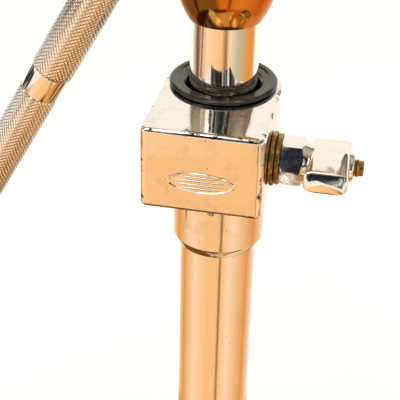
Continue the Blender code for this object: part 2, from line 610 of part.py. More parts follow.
def makeTripod():
    slider = collar("leg_slider", LEG_PIVOT_Z - 26 * MM, LEG_PIVOT_Z + 14 * MM, LEG_PIVOT_Z, 3.4 * MM, 3.4 * MM)
    screwHeight = LEG_PIVOT_Z - 8 * MM
    boss = rod("join_slider_boss", (0, -18 * MM, screwHeight), (0, -25 * MM, screwHeight), 7 * MM, sides=20)
    combine(slider, [boss], "UNION")
    screwHole = rod("cut_slider_screw", (0, 0, screwHeight), (0, -30 * MM, screwHeight), 3 * MM + GAP, sides=14)
    combine(slider, [screwHole])
    makeWingScrew("slider_wing_screw", (0, -LOWER_TUBE_R - GAP, screwHeight), -Y_AXIS, 10 * MM)
    low = LEG_PIVOT_Z - 2 * LINK_LENGTH * math.cos(FOLD_ANGLE)
    collar("brace_hub", low - 16 * MM, low + 12 * MM, low, LEG_R + 3 * MM, 3 * MM)
    for number, angle in enumerate(LEG_BEARINGS, start=1):
        makeLeg(number, angle)
        makeBrace(number, angle)


makeLowerTube()
makeClampBlock()
makeBushing()
makeCotterBolt()
makeWashers()
makeWingNut("clamp_wing_nut", (CLAMP_WIDTH / 2 + 4.1 * MM, COTTER_Y, CLAMP_TOP - COTTER_DROP), X_AXIS)
makeUpperTube()
makeTilterBase()
makeTiltBolt()
makeTilterHead()
makeCrossbar()
makeBellRod()
makeDrum("left", LEFT_R, LEFT_GAP, math.radians(36))
makeDrum("right", RIGHT_R, RIGHT_GAP, math.radians(180 + 36))
makeTripod()
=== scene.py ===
import json
import math

import bmesh
import bpy
from mathutils import Matrix, Vector


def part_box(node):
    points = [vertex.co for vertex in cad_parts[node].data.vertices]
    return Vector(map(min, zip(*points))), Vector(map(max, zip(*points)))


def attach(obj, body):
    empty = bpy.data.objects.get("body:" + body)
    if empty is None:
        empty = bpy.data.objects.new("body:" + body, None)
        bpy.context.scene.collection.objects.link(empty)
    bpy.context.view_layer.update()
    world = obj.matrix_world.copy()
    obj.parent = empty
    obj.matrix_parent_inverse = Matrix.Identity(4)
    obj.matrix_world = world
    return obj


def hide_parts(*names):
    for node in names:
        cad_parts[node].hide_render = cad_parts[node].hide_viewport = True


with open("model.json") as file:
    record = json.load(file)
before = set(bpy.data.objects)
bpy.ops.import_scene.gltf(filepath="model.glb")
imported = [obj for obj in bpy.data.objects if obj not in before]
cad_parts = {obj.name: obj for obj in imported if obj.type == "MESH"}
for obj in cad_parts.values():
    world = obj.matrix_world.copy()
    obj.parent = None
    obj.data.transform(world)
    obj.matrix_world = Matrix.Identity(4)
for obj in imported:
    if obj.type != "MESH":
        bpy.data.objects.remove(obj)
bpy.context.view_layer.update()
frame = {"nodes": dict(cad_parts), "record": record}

mm = 0.001
record = frame["record"]
bodyOf = {node: body for body, nodes in record["behaviour"]["bodies"].items() for node in nodes}
joints = {joint["name"]: joint for joint in record["behaviour"]["joints"]}

# places that everything else hangs on, read from the frame
tubeLow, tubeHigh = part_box("lower_tube")
postX = (tubeLow.x + tubeHigh.x) / 2
postY = (tubeLow.y + tubeHigh.y) / 2
clampLow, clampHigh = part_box("clamp_block")
clampTop = clampHigh.z
print("frame loaded:", len(frame["nodes"]), "nodes")


# ---- small helpers

def toLinear(hexColour):
    channels = [int(hexColour[i:i + 2], 16) / 255 for i in (0, 2, 4)]
    return [c / 12.92 if c <= 0.04045 else ((c + 0.055) / 1.055) ** 2.4 for c in channels] + [1]


def addNode(tree, kind, settings=None, links=None):
    node = tree.nodes.new(kind)
    for name, value in (settings or {}).items():
        if isinstance(name, int) or name in node.inputs:
            node.inputs[name].default_value = value
        else:
            setattr(node, name, value)
    for name, socket in (links or {}).items():
        tree.links.new(socket, node.inputs[name])
    return node


def newMaterial(name, settings):
    material = bpy.data.materials.new(name)
    material.use_nodes = True
    tree = material.node_tree
    shader = tree.nodes["Principled BSDF"]
    for key, value in settings.items():
        shader.inputs[key].default_value = value
    return material, tree, shader


def perMetre(millimetres):
    # a noise of this scale repeats about once in so many millimetres
    return 1000 / millimetres


# ---- materials

platingLook = {
    "colour": "F1EEE9",
    "hazeColour": "FBF6EE",
    "roughness": 0.035,
    "haze": 0.10,         # how much duller the handled patches are
    "hazeSize": 14,       # mm
    "orangePeel": 5.5,    # mm between the soft waves of polished plating
    "pitSpacing": 8.0,    # mm
    "pitSize": 0.28,      # mm
    "wipeSize": 1.6,      # mm across one wiping mark
}


wearLook = {"colour": "3B2C1E", "raggedSize": 3.2, "thin": 0.2 * mm, "wide": 2.1 * mm, "fade": 0.5 * mm,
            "blotchSize": 7, "blotchShade": 0.82}


def edgeWear(tree, place, low, high):
    # 1 along the worn edges of a box-shaped casting, 0 elsewhere: dirt and lost plating gather there
    split = addNode(tree, "ShaderNodeSeparateXYZ", None, {0: place})
    inward = []
    for i in range(3):
        centred = addNode(tree, "ShaderNodeMath", {"operation": "SUBTRACT", 1: (low[i] + high[i]) / 2},
                          {0: split.outputs[i]}).outputs[0]
        size = addNode(tree, "ShaderNodeMath", {"operation": "ABSOLUTE"}, {0: centred}).outputs[0]
        inward.append(addNode(tree, "ShaderNodeMath", {"operation": "SUBTRACT", 0: (high[i] - low[i]) / 2},
                              {1: size}).outputs[0])
    nearest = None
    for i, j in ((0, 1), (1, 2), (0, 2)):
        edge = addNode(tree, "ShaderNodeMath", {"operation": "MAXIMUM"}, {0: inward[i], 1: inward[j]}).outputs[0]
        nearest = edge if nearest is None else addNode(
            tree, "ShaderNodeMath", {"operation": "MINIMUM"}, {0: nearest, 1: edge}).outputs[0]
    look = wearLook
    ragged = addNode(tree, "ShaderNodeTexNoise",
                     {"Scale": perMetre(look["raggedSize"]), "Detail": 6, "Roughness": 0.75},
                     {"Vector": place}).outputs["Fac"]
    width = addNode(tree, "ShaderNodeMapRange",
                    {"From Min": 0.47, "From Max": 0.66, "To Min": look["thin"], "To Max": look["wide"]},
                    {"Value": ragged}).outputs[0]
    inside = addNode(tree, "ShaderNodeMath", {"operation": "SUBTRACT"}, {0: width, 1: nearest}).outputs[0]
    return addNode(tree, "ShaderNodeMapRange", {"From Min": 0.0, "From Max": look["fade"]},
                   {"Value": inside}).outputs[0]


# dark is painted shade on one half of the bowl and light is the other half; seamFrom and seamTo give where they meet
lacquerAndSideShadeLook = {"dark": "7A5A2A", "light": "D98B38", "cloudSize": 12, "wander": 1.5 * mm, "seamFrom": -0.5 * mm,
               "seamTo": 1.5 * mm}


def lacquerWithPaintedSideShade(tree, place, plain):
    # brown lacquer over the plating, plus painted shade: the half of the bowl away from the wing nut is darker than
    # the other half
    look = lacquerAndSideShadeLook
    split = addNode(tree, "ShaderNodeSeparateXYZ", None, {0: place})
    cloud = addNode(tree, "ShaderNodeTexNoise", {"Scale": perMetre(look["cloudSize"]), "Detail": 2},
                    {"Vector": place}).outputs["Fac"]
    shift = addNode(tree, "ShaderNodeMapRange", {"To Min": -look["wander"], "To Max": look["wander"]},
                    {"Value": cloud}).outputs[0]
    across = addNode(tree, "ShaderNodeMath", {"operation": "ADD"}, {0: split.outputs[0], 1: shift}).outputs[0]
    # painted shade: the half of the bowl on the far side of the post from the wing nut takes the dark colour
    side = addNode(tree, "ShaderNodeMapRange",
                   {"From Min": postX + look["seamFrom"], "From Max": postX + look["seamTo"]},
                   {"Value": across}).outputs[0]
    tint = addNode(tree, "ShaderNodeMix",
                   {"data_type": "RGBA", 6: toLinear(look["dark"]), 7: toLinear(look["light"])}, {0: side}).outputs[2]
    return addNode(tree, "ShaderNodeMix", {"data_type": "RGBA", "blend_type": "MULTIPLY", 0: 1.0},
                   {6: plain, 7: tint}).outputs[2]


def makePlating(name, waviness, pits=1.0, grain=(1, 1, 1), extraHaze=0.0, wornBox=None, withLacquerAndShade=False):
    # chromium plating on polished metal: a mirror with slow waves, tiny pits and wiped haze
    look = platingLook
    material, tree, shader = newMaterial(name, {"Metallic": 1.0, "Roughness": look["roughness"]})
    place = addNode(tree, "ShaderNodeTexCoord").outputs["Object"]
    stretched = addNode(tree, "ShaderNodeMapping", {"Scale": grain}, {"Vector": place}).outputs[0]
    haze = addNode(tree, "ShaderNodeTexNoise",
                   {"Scale": perMetre(look["hazeSize"]), "Detail": 5, "Roughness": 0.62},
                   {"Vector": place}).outputs["Fac"]
    wipes = addNode(tree, "ShaderNodeTexNoise", {"Scale": perMetre(look["wipeSize"]), "Detail": 3},
                    {"Vector": stretched}).outputs["Fac"]
    both = addNode(tree, "ShaderNodeMath", {"operation": "MULTIPLY"}, {0: haze, 1: wipes}).outputs[0]
    rough = addNode(tree, "ShaderNodeMapRange",
                    {"From Min": 0.16, "From Max": 0.42, "To Min": look["roughness"],
                     "To Max": look["roughness"] + look["haze"] + extraHaze}, {"Value": both}).outputs[0]
    tree.links.new(rough, shader.inputs["Roughness"])
    tint = addNode(tree, "ShaderNodeMix",
                   {"data_type": "RGBA", 6: toLinear(look["colour"]), 7: toLinear(look["hazeColour"])},
                   {0: haze}).outputs[2]
    cells = addNode(tree, "ShaderNodeTexVoronoi", {"Scale": perMetre(look["pitSpacing"]), "Randomness": 1.0},
                    {"Vector": place}).outputs["Distance"]
    pitEdge = look["pitSize"] / look["pitSpacing"]
    pit = addNode(tree, "ShaderNodeMapRange", {"From Min": pitEdge * 0.5, "From Max": pitEdge},
                  {"Value": cells}).outputs[0]
    stained = addNode(tree, "ShaderNodeMix", {"data_type": "RGBA", "blend_type": "MULTIPLY", 0: 0.75 * pits},
                      {6: tint, 7: pit}).outputs[2]
    if withLacquerAndShade:
        stained = lacquerWithPaintedSideShade(tree, place, stained)
    if wornBox:
        worn = edgeWear(tree, place, *wornBox)
        stained = addNode(tree, "ShaderNodeMix", {"data_type": "RGBA", 7: toLinear(wearLook["colour"])},
                          {0: worn, 6: stained}).outputs[2]
        blotch = addNode(tree, "ShaderNodeTexNoise",
                         {"Scale": perMetre(wearLook["blotchSize"]), "Detail": 7, "Roughness": 0.7},
                         {"Vector": place}).outputs["Fac"]
        dull = addNode(tree, "ShaderNodeMapRange",
                       {"From Min": 0.5, "From Max": 0.75, "To Min": 1.0, "To Max": wearLook["blotchShade"]},
                       {"Value": blotch}).outputs[0]
        stained = addNode(tree, "ShaderNodeMix", {"data_type": "RGBA", "blend_type": "MULTIPLY", 0: 1.0},
                          {6: stained, 7: dull}).outputs[2]
    tree.links.new(stained, shader.inputs["Base Color"])
    peel = addNode(tree, "ShaderNodeTexNoise", {"Scale": perMetre(look["orangePeel"]), "Detail": 1.5},
                   {"Vector": place}).outputs["Fac"]
    waves = addNode(tree, "ShaderNodeBump", {"Strength": waviness, "Distance": 0.4 * mm}, {"Height": peel})
    sunk = addNode(tree, "ShaderNodeBump", {"Strength": 0.5 * pits, "Distance": 0.1 * mm},
                   {"Height": pit, "Normal": waves.outputs[0]})
    marks = addNode(tree, "ShaderNodeBump", {"Strength": 0.05, "Distance": 0.02 * mm},
                    {"Height": wipes, "Normal": sunk.outputs[0]})
    tree.links.new(marks.outputs[0], shader.inputs["Normal"])
    return material


knurlLook = {
    "colour": "FFFDF9",
    # painted shade: the darker colour given to the hollows between the diamonds
    "paintedValleyShade": "B5AA9B",
    "diamonds": 30,       # round the rod
    "pitch": 1.7,         # mm along the rod
    "depth": 0.15,        # mm
    "wearSize": 9,        # mm
}


def makeKnurl(name):
    # plated steel rolled with a diamond knurl: each small pyramid throws its own glint
    # the diamonds are drawn coarser than real ones, which would be too fine to see
    look = knurlLook
    material, tree, shader = newMaterial(name, {"Metallic": 1.0, "Roughness": 0.16})
    place = addNode(tree, "ShaderNodeTexCoord").outputs["Object"]
    split = addNode(tree, "ShaderNodeSeparateXYZ", None, {0: place})
    around = addNode(tree, "ShaderNodeMath", {"operation": "ARCTAN2"},
                     {0: split.outputs[1], 1: split.outputs[0]})
    turns = addNode(tree, "ShaderNodeMath", {"operation": "MULTIPLY", 1: look["diamonds"] / math.tau},
                    {0: around.outputs[0]})
    along = addNode(tree, "ShaderNodeMath", {"operation": "MULTIPLY", 1: perMetre(look["pitch"])},
                    {0: split.outputs[2]})
    ridges = []
    for operation in ("ADD", "SUBTRACT"):
        lead = addNode(tree, "ShaderNodeMath", {"operation": operation},
                       {0: turns.outputs[0], 1: along.outputs[0]}).outputs[0]
        ridges.append(addNode(tree, "ShaderNodeMath", {"operation": "PINGPONG", 1: 0.5}, {0: lead}).outputs[0])
    pyramid = addNode(tree, "ShaderNodeMath", {"operation": "MINIMUM"}, {0: ridges[0], 1: ridges[1]}).outputs[0]
    height = addNode(tree, "ShaderNodeMath", {"operation": "MULTIPLY", 1: 2.0}, {0: pyramid}).outputs[0]
    # the knurl's hollows are painted darker than its crests: painted shade in the valleys
    shade = addNode(tree, "ShaderNodeMapRange", {"From Min": 0.0, "From Max": 0.3}, {"Value": height}).outputs[0]
    colour = addNode(tree, "ShaderNodeMix",
                     {"data_type": "RGBA", 6: toLinear(look["paintedValleyShade"]), 7: toLinear(look["colour"])},
                     {0: shade}).outputs[2]
    tree.links.new(colour, shader.inputs["Base Color"])
    wear = addNode(tree, "ShaderNodeTexNoise", {"Scale": perMetre(look["wearSize"]), "Detail": 4},
                   {"Vector": place}).outputs["Fac"]
    rough = addNode(tree, "ShaderNodeMapRange", {"To Min": 0.1, "To Max": 0.3}, {"Value": wear}).outputs[0]
    tree.links.new(rough, shader.inputs["Roughness"])
    bump = addNode(tree, "ShaderNodeBump", {"Strength": 1.0, "Distance": look["depth"] * mm}, {"Height": height})
    tree.links.new(bump.outputs[0], shader.inputs["Normal"])
    return material


brassLook = {"colour": "B89A5A", "oxide": "6F5A2C", "roughness": 0.28, "oxideRoughness": 0.5,
             "spotSize": 2.2, "turningPitch": 0.35}


def makeBrass(name):
    # turned brass gone olive with handling: brown in the hollows, still bright where it is rubbed
    look = brassLook
    material, tree, shader = newMaterial(name, {"Metallic": 1.0})
    place = addNode(tree, "ShaderNodeTexCoord").outputs["Object"]
    spots = addNode(tree, "ShaderNodeTexNoise",
                    {"Scale": perMetre(look["spotSize"]), "Detail": 6, "Roughness": 0.7},
                    {"Vector": place}).outputs["Fac"]
    edge = addNode(tree, "ShaderNodeMapRange", {"From Min": 0.42, "From Max": 0.62}, {"Value": spots}).outputs[0]
    colour = addNode(tree, "ShaderNodeMix",
                     {"data_type": "RGBA", 6: toLinear(look["colour"]), 7: toLinear(look["oxide"])},
                     {0: edge}).outputs[2]
    tree.links.new(colour, shader.inputs["Base Color"])
    rough = addNode(tree, "ShaderNodeMapRange", {"To Min": look["roughness"], "To Max": look["oxideRoughness"]},
                    {"Value": edge}).outputs[0]
    tree.links.new(rough, shader.inputs["Roughness"])
    turning = addNode(tree, "ShaderNodeTexNoise", {"Scale": perMetre(look["turningPitch"]), "Detail": 2},
                      {"Vector": place}).outputs["Fac"]
    bump = addNode(tree, "ShaderNodeBump", {"Strength": 0.25, "Distance": 0.04 * mm}, {"Height": turning})
    tree.links.new(bump.outputs[0], shader.inputs["Normal"])
    return material


# sizes in mm
nylonLook = {"colour": "141210", "dust": "37322B", "roughness": 0.15, "gloss": 0.85, "grain": 0.7,
             "grainDepth": 0.006, "dustSize": 5}
rubberLook = {"colour": "1B1A19", "dust": "3A3733", "roughness": 0.62, "gloss": 0.5, "grain": 0.8,
              "grainDepth": 0.06, "dustSize": 6}


def makeMoulded(name, look):
    # moulded black nylon or rubber: a fine eggshell grain with paler dust caught in it
    roughness = look["roughness"]
    material, tree, shader = newMaterial(name, {"Roughness": roughness, "Specular IOR Level": look["gloss"]})
    place = addNode(tree, "ShaderNodeTexCoord").outputs["Object"]
    cloud = addNode(tree, "ShaderNodeTexNoise",
                    {"Scale": perMetre(look["dustSize"]), "Detail": 6, "Roughness": 0.65},
                    {"Vector": place}).outputs["Fac"]
    patch = addNode(tree, "ShaderNodeMapRange", {"From Min": 0.4, "From Max": 0.75, "To Max": 0.8},
                    {"Value": cloud}).outputs[0]
    tint = addNode(tree, "ShaderNodeMix",
                   {"data_type": "RGBA", 6: toLinear(look["colour"]), 7: toLinear(look["dust"])},
                   {0: patch}).outputs[2]
    tree.links.new(tint, shader.inputs["Base Color"])
    rough = addNode(tree, "ShaderNodeMapRange", {"To Min": roughness * 0.8, "To Max": roughness * 1.5},
                    {"Value": cloud}).outputs[0]
    tree.links.new(rough, shader.inputs["Roughness"])
    fine = addNode(tree, "ShaderNodeTexNoise", {"Scale": perMetre(look["grain"]), "Detail": 3},
                   {"Vector": place}).outputs["Fac"]
    bump = addNode(tree, "ShaderNodeBump", {"Strength": 0.4, "Distance": look["grainDepth"] * mm},
                   {"Height": fine})
    tree.links.new(bump.outputs[0], shader.inputs["Normal"])
    return material


shellLook = {"colour": "D9D6D0", "streak": "B9B4AB", "roughness": 0.13, "streakRoughness": 0.3,
             "streakSize": 1.1, "cloudSize": 60}


def makeShellSteel(name):
    # rolled and buffed steel sheet: faint buffing lines run round the shell
    look = shellLook
    material, tree, shader = newMaterial(name, {"Metallic": 1.0})
    place = addNode(tree, "ShaderNodeTexCoord").outputs["Object"]
    flat = addNode(tree, "ShaderNodeMapping", {"Scale": (0.04, 0.04, 1)}, {"Vector": place}).outputs[0]
    lines = addNode(tree, "ShaderNodeTexNoise",
                    {"Scale": perMetre(look["streakSize"]), "Detail": 4, "Roughness": 0.7},
                    {"Vector": flat}).outputs["Fac"]
    cloud = addNode(tree, "ShaderNodeTexNoise", {"Scale": perMetre(look["cloudSize"]), "Detail": 4},
                    {"Vector": place}).outputs["Fac"]
    mixed = addNode(tree, "ShaderNodeMath", {"operation": "MULTIPLY"}, {0: lines, 1: cloud}).outputs[0]
    colour = addNode(tree, "ShaderNodeMix",
                     {"data_type": "RGBA", 6: toLinear(look["colour"]), 7: toLinear(look["streak"])},
                     {0: lines}).outputs[2]
    tree.links.new(colour, shader.inputs["Base Color"])
    rough = addNode(tree, "ShaderNodeMapRange",
                    {"From Min": 0.1, "From Max": 0.45, "To Min": look["roughness"],
                     "To Max": look["streakRoughness"]}, {"Value": mixed}).outputs[0]
    tree.links.new(rough, shader.inputs["Roughness"])
    bump = addNode(tree, "ShaderNodeBump", {"Strength": 0.12, "Distance": 0.05 * mm}, {"Height": lines})
    tree.links.new(bump.outputs[0], shader.inputs["Normal"])
    return material


filmLook = {"colour": "ECE9E1", "scuff": "CFC9BC", "grain": 0.9, "scuffSize": 45}


def makeHeadFilm(name):
    # polyester film with a sprayed white coat: a sandy grain, greyed where sticks land
    look = filmLook
    material, tree, shader = newMaterial(name, {
        "Roughness": 0.55, "Specular IOR Level": 0.4, "Subsurface Weight": 0.08,
        "Subsurface Radius": (2 * mm, 1.8 * mm, 1.5 * mm)})
    place = addNode(tree, "ShaderNodeTexCoord").outputs["Object"]
    scuffs = addNode(tree, "ShaderNodeTexNoise",
                     {"Scale": perMetre(look["scuffSize"]), "Detail": 8, "Roughness": 0.7},
                     {"Vector": place}).outputs["Fac"]
    patch = addNode(tree, "ShaderNodeMapRange", {"From Min": 0.48, "From Max": 0.72, "To Max": 0.7},
                    {"Value": scuffs}).outputs[0]
    tint = addNode(tree, "ShaderNodeMix",
                   {"data_type": "RGBA", 6: toLinear(look["colour"]), 7: toLinear(look["scuff"])},
                   {0: patch}).outputs[2]
    tree.links.new(tint, shader.inputs["Base Color"])
    sand = addNode(tree, "ShaderNodeTexNoise", {"Scale": perMetre(look["grain"]), "Detail": 2},
                   {"Vector": place}).outputs["Fac"]
    bump = addNode(tree, "ShaderNodeBump", {"Strength": 0.35, "Distance": 0.06 * mm}, {"Height": sand})
    tree.links.new(bump.outputs[0], shader.inputs["Normal"])
    return material


blockHeight = 32 * mm
blockBox = (Vector((clampLow.x, clampLow.y, clampTop - blockHeight)), clampHigh)
platedCasting = makePlating("bright chromium over polished die casting", 0.13)
wornCasting = makePlating("chromium over die casting worn at its edges", 0.14, 1.3, extraHaze=0.04, wornBox=blockBox)
lacquerAndShadeCup = makePlating("brown lacquer with painted side shade over plated casting", 0.10, extraHaze=0.05, withLacquerAndShade=True)
platedTube = makePlating("chromium on drawn steel tube", 0.05, 0.7, grain=(1, 1, 0.06))
platedBar = makePlating("chromium on drawn crossbar", 0.05, 0.7, grain=(0.06, 1, 1))
platedPress = makePlating("chromium on pressed steel", 0.09, 0.8, grain=(1, 1, 0.3))
platedSmall = makePlating("chromium on small turned parts", 0.07, 0.6, extraHaze=0.05)
knurledSteel = makeKnurl("chromium over diamond knurl")
turnedBrass = makeBrass("turned brass with oxide")
mouldedNylon = makeMoulded("moulded black nylon", nylonLook)
mouldedRubber = makeMoulded("moulded black rubber", rubberLook)
buffedSteel = makeShellSteel("buffed rolled shell steel")
coatedFilm = makeHeadFilm("coated polyester film")
print("materials made")


# ---- mesh builders

def smoothed(mesh, angle=32):
    mesh.polygons.foreach_set("use_smooth", [True] * len(mesh.polygons))
    mesh.set_sharp_from_angle(angle=math.radians(angle))
    return mesh


def addPiece(name, mesh, material, body, nodes=(), matrix=None):
    # a finished piece: it rides on its body and stands in for the CAD nodes that it names
    piece = bpy.data.objects.new(name, mesh)
    bpy.context.scene.collection.objects.link(piece)
    if matrix:
        piece.matrix_world = matrix
    mesh.materials.clear()
    mesh.materials.append(material)
    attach(piece, body)
    if nodes:
        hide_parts(*nodes)


def meshOf(bm, name, angle=32):
    bmesh.ops.remove_doubles(bm, verts=bm.verts, dist=1e-7)
    bmesh.ops.recalc_face_normals(bm, faces=bm.faces)
    mesh = bpy.data.meshes.new(name)
    bm.to_mesh(mesh)
    bm.free()
    return smoothed(mesh, angle)


def filleted(corners, steps=5):
    # corners are (radius, height, fillet) round a closed outline; each is rounded by its fillet
    points = []
    count = len(corners)
    for i, (x, y, fillet) in enumerate(corners):
        here = Vector((x, y))
        before = Vector(corners[i - 1][:2]) - here
        after = Vector(corners[(i + 1) % count][:2]) - here
        if fillet <= 0 or before.length < 1e-9 or after.length < 1e-9:
            points.append(here)
            continue
        corner = before.angle(after)
        cut = min(fillet / math.tan(corner / 2), before.length * 0.49, after.length * 0.49)
        start = here + before.normalized() * cut
        end = here + after.normalized() * cut
        for k in range(steps + 1):
            t = k / steps
            points.append(start * (1 - t) ** 2 + here * 2 * t * (1 - t) + end * t ** 2)
    return points


def turnedMesh(bm, corners, matrix=Matrix(), sides=96, steps=5, squash=None):
    # spins a closed outline round local Z into the bmesh
    outline = filleted(corners, steps)
    rings = []
    for i in range(sides):
        angle = math.tau * i / sides
        ring = []
        for point in outline:
            spot = Vector((point.x * math.cos(angle), point.x * math.sin(angle), point.y))
            if squash:
                spot = squash(spot)
            ring.append(bm.verts.new(matrix @ spot))
        rings.append(ring)
    for i in range(sides):
        a, b = rings[i], rings[(i + 1) % sides]
        for j in range(len(outline)):
            k = (j + 1) % len(outline)
            if outline[j].x < 1e-7 and outline[k].x < 1e-7:
                continue
            bm.faces.new((a[j], b[j], b[k], a[k]))
    bmesh.ops.remove_doubles(bm, verts=bm.verts, dist=1e-7)
    bmesh.ops.dissolve_degenerate(bm, edges=bm.edges, dist=1e-7)
    return bm


def turned(name, corners, material, nodes, matrix=Matrix(), sides=96, steps=5, local=False, angle=32):
    bm = turnedMesh(bmesh.new(), corners, Matrix() if local else matrix, sides, steps)
    mesh = meshOf(bm, name, angle)
    addPiece(name, mesh, material, bodyOf[nodes[0]], nodes, matrix if local else None)


def alongAxis(axis, origin):
    turn = Vector(axis).to_track_quat("Z", "Y").to_matrix().to_4x4()
    return Matrix.Translation(origin) @ turn


def atPost(height=0.0):
    return Matrix.Translation((postX, postY, height))


def arcPoints(radius, start, end, steps, centre=(0, 0)):
    angles = [math.radians(start + (end - start) * i / steps) for i in range(steps + 1)]
    return [(centre[0] + radius * math.cos(a), centre[1] + radius * math.sin(a)) for a in angles]


def slab(outline, low, high, matrix):
    bm = bmesh.new()
    base = bm.faces.new([bm.verts.new((x, y, low)) for x, y in outline])
    grown = bmesh.ops.extrude_face_region(bm, geom=[base])["geom"]
    risen = [v for v in grown if isinstance(v, bmesh.types.BMVert)]
    bmesh.ops.translate(bm, vec=(0, 0, high - low), verts=risen)
    bmesh.ops.transform(bm, matrix=matrix, verts=bm.verts)
    bmesh.ops.recalc_face_normals(bm, faces=bm.faces)
    mesh = bpy.data.meshes.new("slab")
    bm.to_mesh(mesh)
    bm.free()
    return mesh


def turnedOnly(corners, matrix, sides=64):
    bm = turnedMesh(bmesh.new(), corners, matrix, sides)
    return meshOf(bm, "tool")


def bar(start, end, radius, sides=64):
    start, end = Vector(start), Vector(end)
    length = (end - start).length
    outline = [(0, 0, 0), (radius, 0, 0), (radius, length, 0), (0, length, 0)]
    return turnedOnly(outline, alongAxis(end - start, start), sides)


def worked(mesh, joins=(), cuts=(), bevel=0.0, segments=3, bevelAngle=35):
    # rounds the edges, then joins and cuts other meshes and returns one new mesh
    holder = bpy.data.objects.new("work", mesh)
    bpy.context.scene.collection.objects.link(holder)
    helpers = []
    if bevel:
        edge = holder.modifiers.new("round", "BEVEL")
        edge.width = bevel
        edge.segments = segments
        edge.limit_method = "ANGLE"
        edge.angle_limit = math.radians(bevelAngle)
    for meshes, operation in ((joins, "UNION"), (cuts, "DIFFERENCE")):
        for other in meshes:
            helper = bpy.data.objects.new("tool", other)
            bpy.context.scene.collection.objects.link(helper)
            helpers.append(helper)
            change = holder.modifiers.new("change", "BOOLEAN")
            change.operation = operation
            change.solver = "EXACT"
            change.object = helper
    bpy.context.view_layer.update()
    result = bpy.data.meshes.new_from_object(holder.evaluated_get(bpy.context.evaluated_depsgraph_get()))
    for item in helpers + [holder]:
        bpy.data.objects.remove(item)
    return smoothed(result)


def refined(node, material, width=0.4, segments=2, sharp=38):
    # the CAD piece with its facets smoothed and its edges eased
    bm = bmesh.new()
    bm.from_mesh(frame["nodes"][node].data)
    bmesh.ops.remove_doubles(bm, verts=bm.verts, dist=1e-6)
    bmesh.ops.dissolve_limit(bm, angle_limit=math.radians(1), verts=bm.verts, edges=bm.edges)
    mesh = bpy.data.meshes.new(node)
    bm.to_mesh(mesh)
    bm.free()
    mesh = worked(mesh, bevel=width * mm, segments=segments, bevelAngle=sharp)
    addPiece("finished_" + node, mesh, material, bodyOf[node], [node])


# ---- height clamp

clampLook = {
    "edge": 1.7 * mm, "corner": 2.4 * mm, "bore": 15.4 * mm,
    "skirt": 17.95 * mm, "skirtEnd": 16.1 * mm, "skirtLength": 32.6 * mm, "skirtCone": 3.6 * mm,
    "bolt": 3.8 * mm, "boltHead": 6.5 * mm, "boltSeat": 7 * mm,   # radii of the cross hole and how far in it widens
    "pinHole": 1.9 * mm, "pinDrop": 14.0 * mm,
}


def makeClampBlock():
    look = clampLook
    half = (clampHigh.x - clampLow.x) / 2
    front = clampLow.y - postY
    low = clampTop - blockHeight
    corner = look["corner"]
    outline = arcPoints(half, 0, 180, 48)
    outline += arcPoints(corner, 180, 270, 6, (-half + corner, front + corner))
    outline += arcPoints(corner, 270, 360, 6, (half - corner, front + corner))
    body = slab(outline, low, clampTop, atPost())
    skirtLow = low - look["skirtLength"]
    end = skirtLow - look["skirtCone"]
    overlap = 2 * mm   # the skirt runs this far up into the block
    skirt = turnedOnly([
        (0, end, 0), (look["skirtEnd"], end, 0.3 * mm), (look["skirt"], skirtLow, 2.5 * mm),
        (look["skirt"], low + overlap, 0), (0, low + overlap, 0)], atPost(), 128)
    boltLow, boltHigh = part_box("cotter_bolt")
    cross = Vector((postX, (boltLow.y + boltHigh.y) / 2, (boltLow.z + boltHigh.z) / 2))
    pin = Vector((postX, postY - look["skirt"], low - look["pinDrop"]))
    past = 9 * mm      # the cutting bars stand out by this much
    right, forward = Vector((1, 0, 0)), Vector((0, -1, 0))
    cuts = [
        bar((postX, postY, end - past), (postX, postY, clampTop + past), look["bore"], 128),
        bar(cross - right * (half + past), cross + right * look["boltSeat"], look["boltHead"], 40),
        bar(cross + right * (look["boltSeat"] - overlap), cross + right * (half + past), look["bolt"], 40),
        bar(pin + forward * 5 * mm, pin - forward * 1.6 * mm, look["pinHole"], 32),
    ]
    mesh = worked(body, joins=[skirt], cuts=cuts, bevel=look["edge"], segments=6)
    addPiece("clamp_casting", mesh, wornCasting, bodyOf["clamp_block"], ["clamp_block"])


badgeLook = {"drop": 19.5 * mm, "width": 25 * mm, "height": 8 * mm, "ribs": 4, "ribPitch": 0.38, "ribHalf": 0.36 * mm,
             "ribRise": 0.42 * mm}


def makeBadge():
    # a plain oval cast in relief: a raised rim round a few level ribs
    look = badgeLook
    centre = Vector((postX, clampLow.y, clampTop - look["drop"]))
    upright = Matrix.Translation(centre) @ Matrix.Rotation(math.radians(90), 4, "X")
    a, b = look["width"] / 2, look["height"] / 2
    bm = bmesh.new()
    flat = Matrix.Diagonal((a, b, mm, 1))
    turnedMesh(bm, [(0, -0.5, 0), (1.0, -0.5, 0), (1.0, 0.15, 0.02), (0.97, 0.5, 0.02), (0.92, 0.5, 0.02),
                    (0.88, 0.12, 0.02), (0, 0.12, 0)], upright @ flat, 72, 3)
    for k in range(look["ribs"]):
        level = (k - (look["ribs"] - 1) / 2) * b * look["ribPitch"]
        reach = a * 0.74 * math.sqrt(1 - (level / (b * 0.95)) ** 2)
        rib = Matrix.Diagonal((reach, look["ribHalf"], look["ribRise"], 1))
        bmesh.ops.create_uvsphere(bm, u_segments=24, v_segments=12, radius=1,
                                  matrix=upright @ Matrix.Translation((0, level, 0.12 * mm)) @ rib)
    addPiece("oval_badge", meshOf(bm, "badge", 50), platedCasting, bodyOf["clamp_block"], ())


tubeLook = {"lower": 15 * mm, "lowerWall": 1.4 * mm, "upper": 12.7 * mm, "upperWall": 1.3 * mm}


def tubeOutline(radius, wall, low, high, edge):
    inner = radius - wall
    return [(inner, low, 0.2 * mm), (radius, low, edge), (radius, high, edge), (inner, high, 0.2 * mm)]


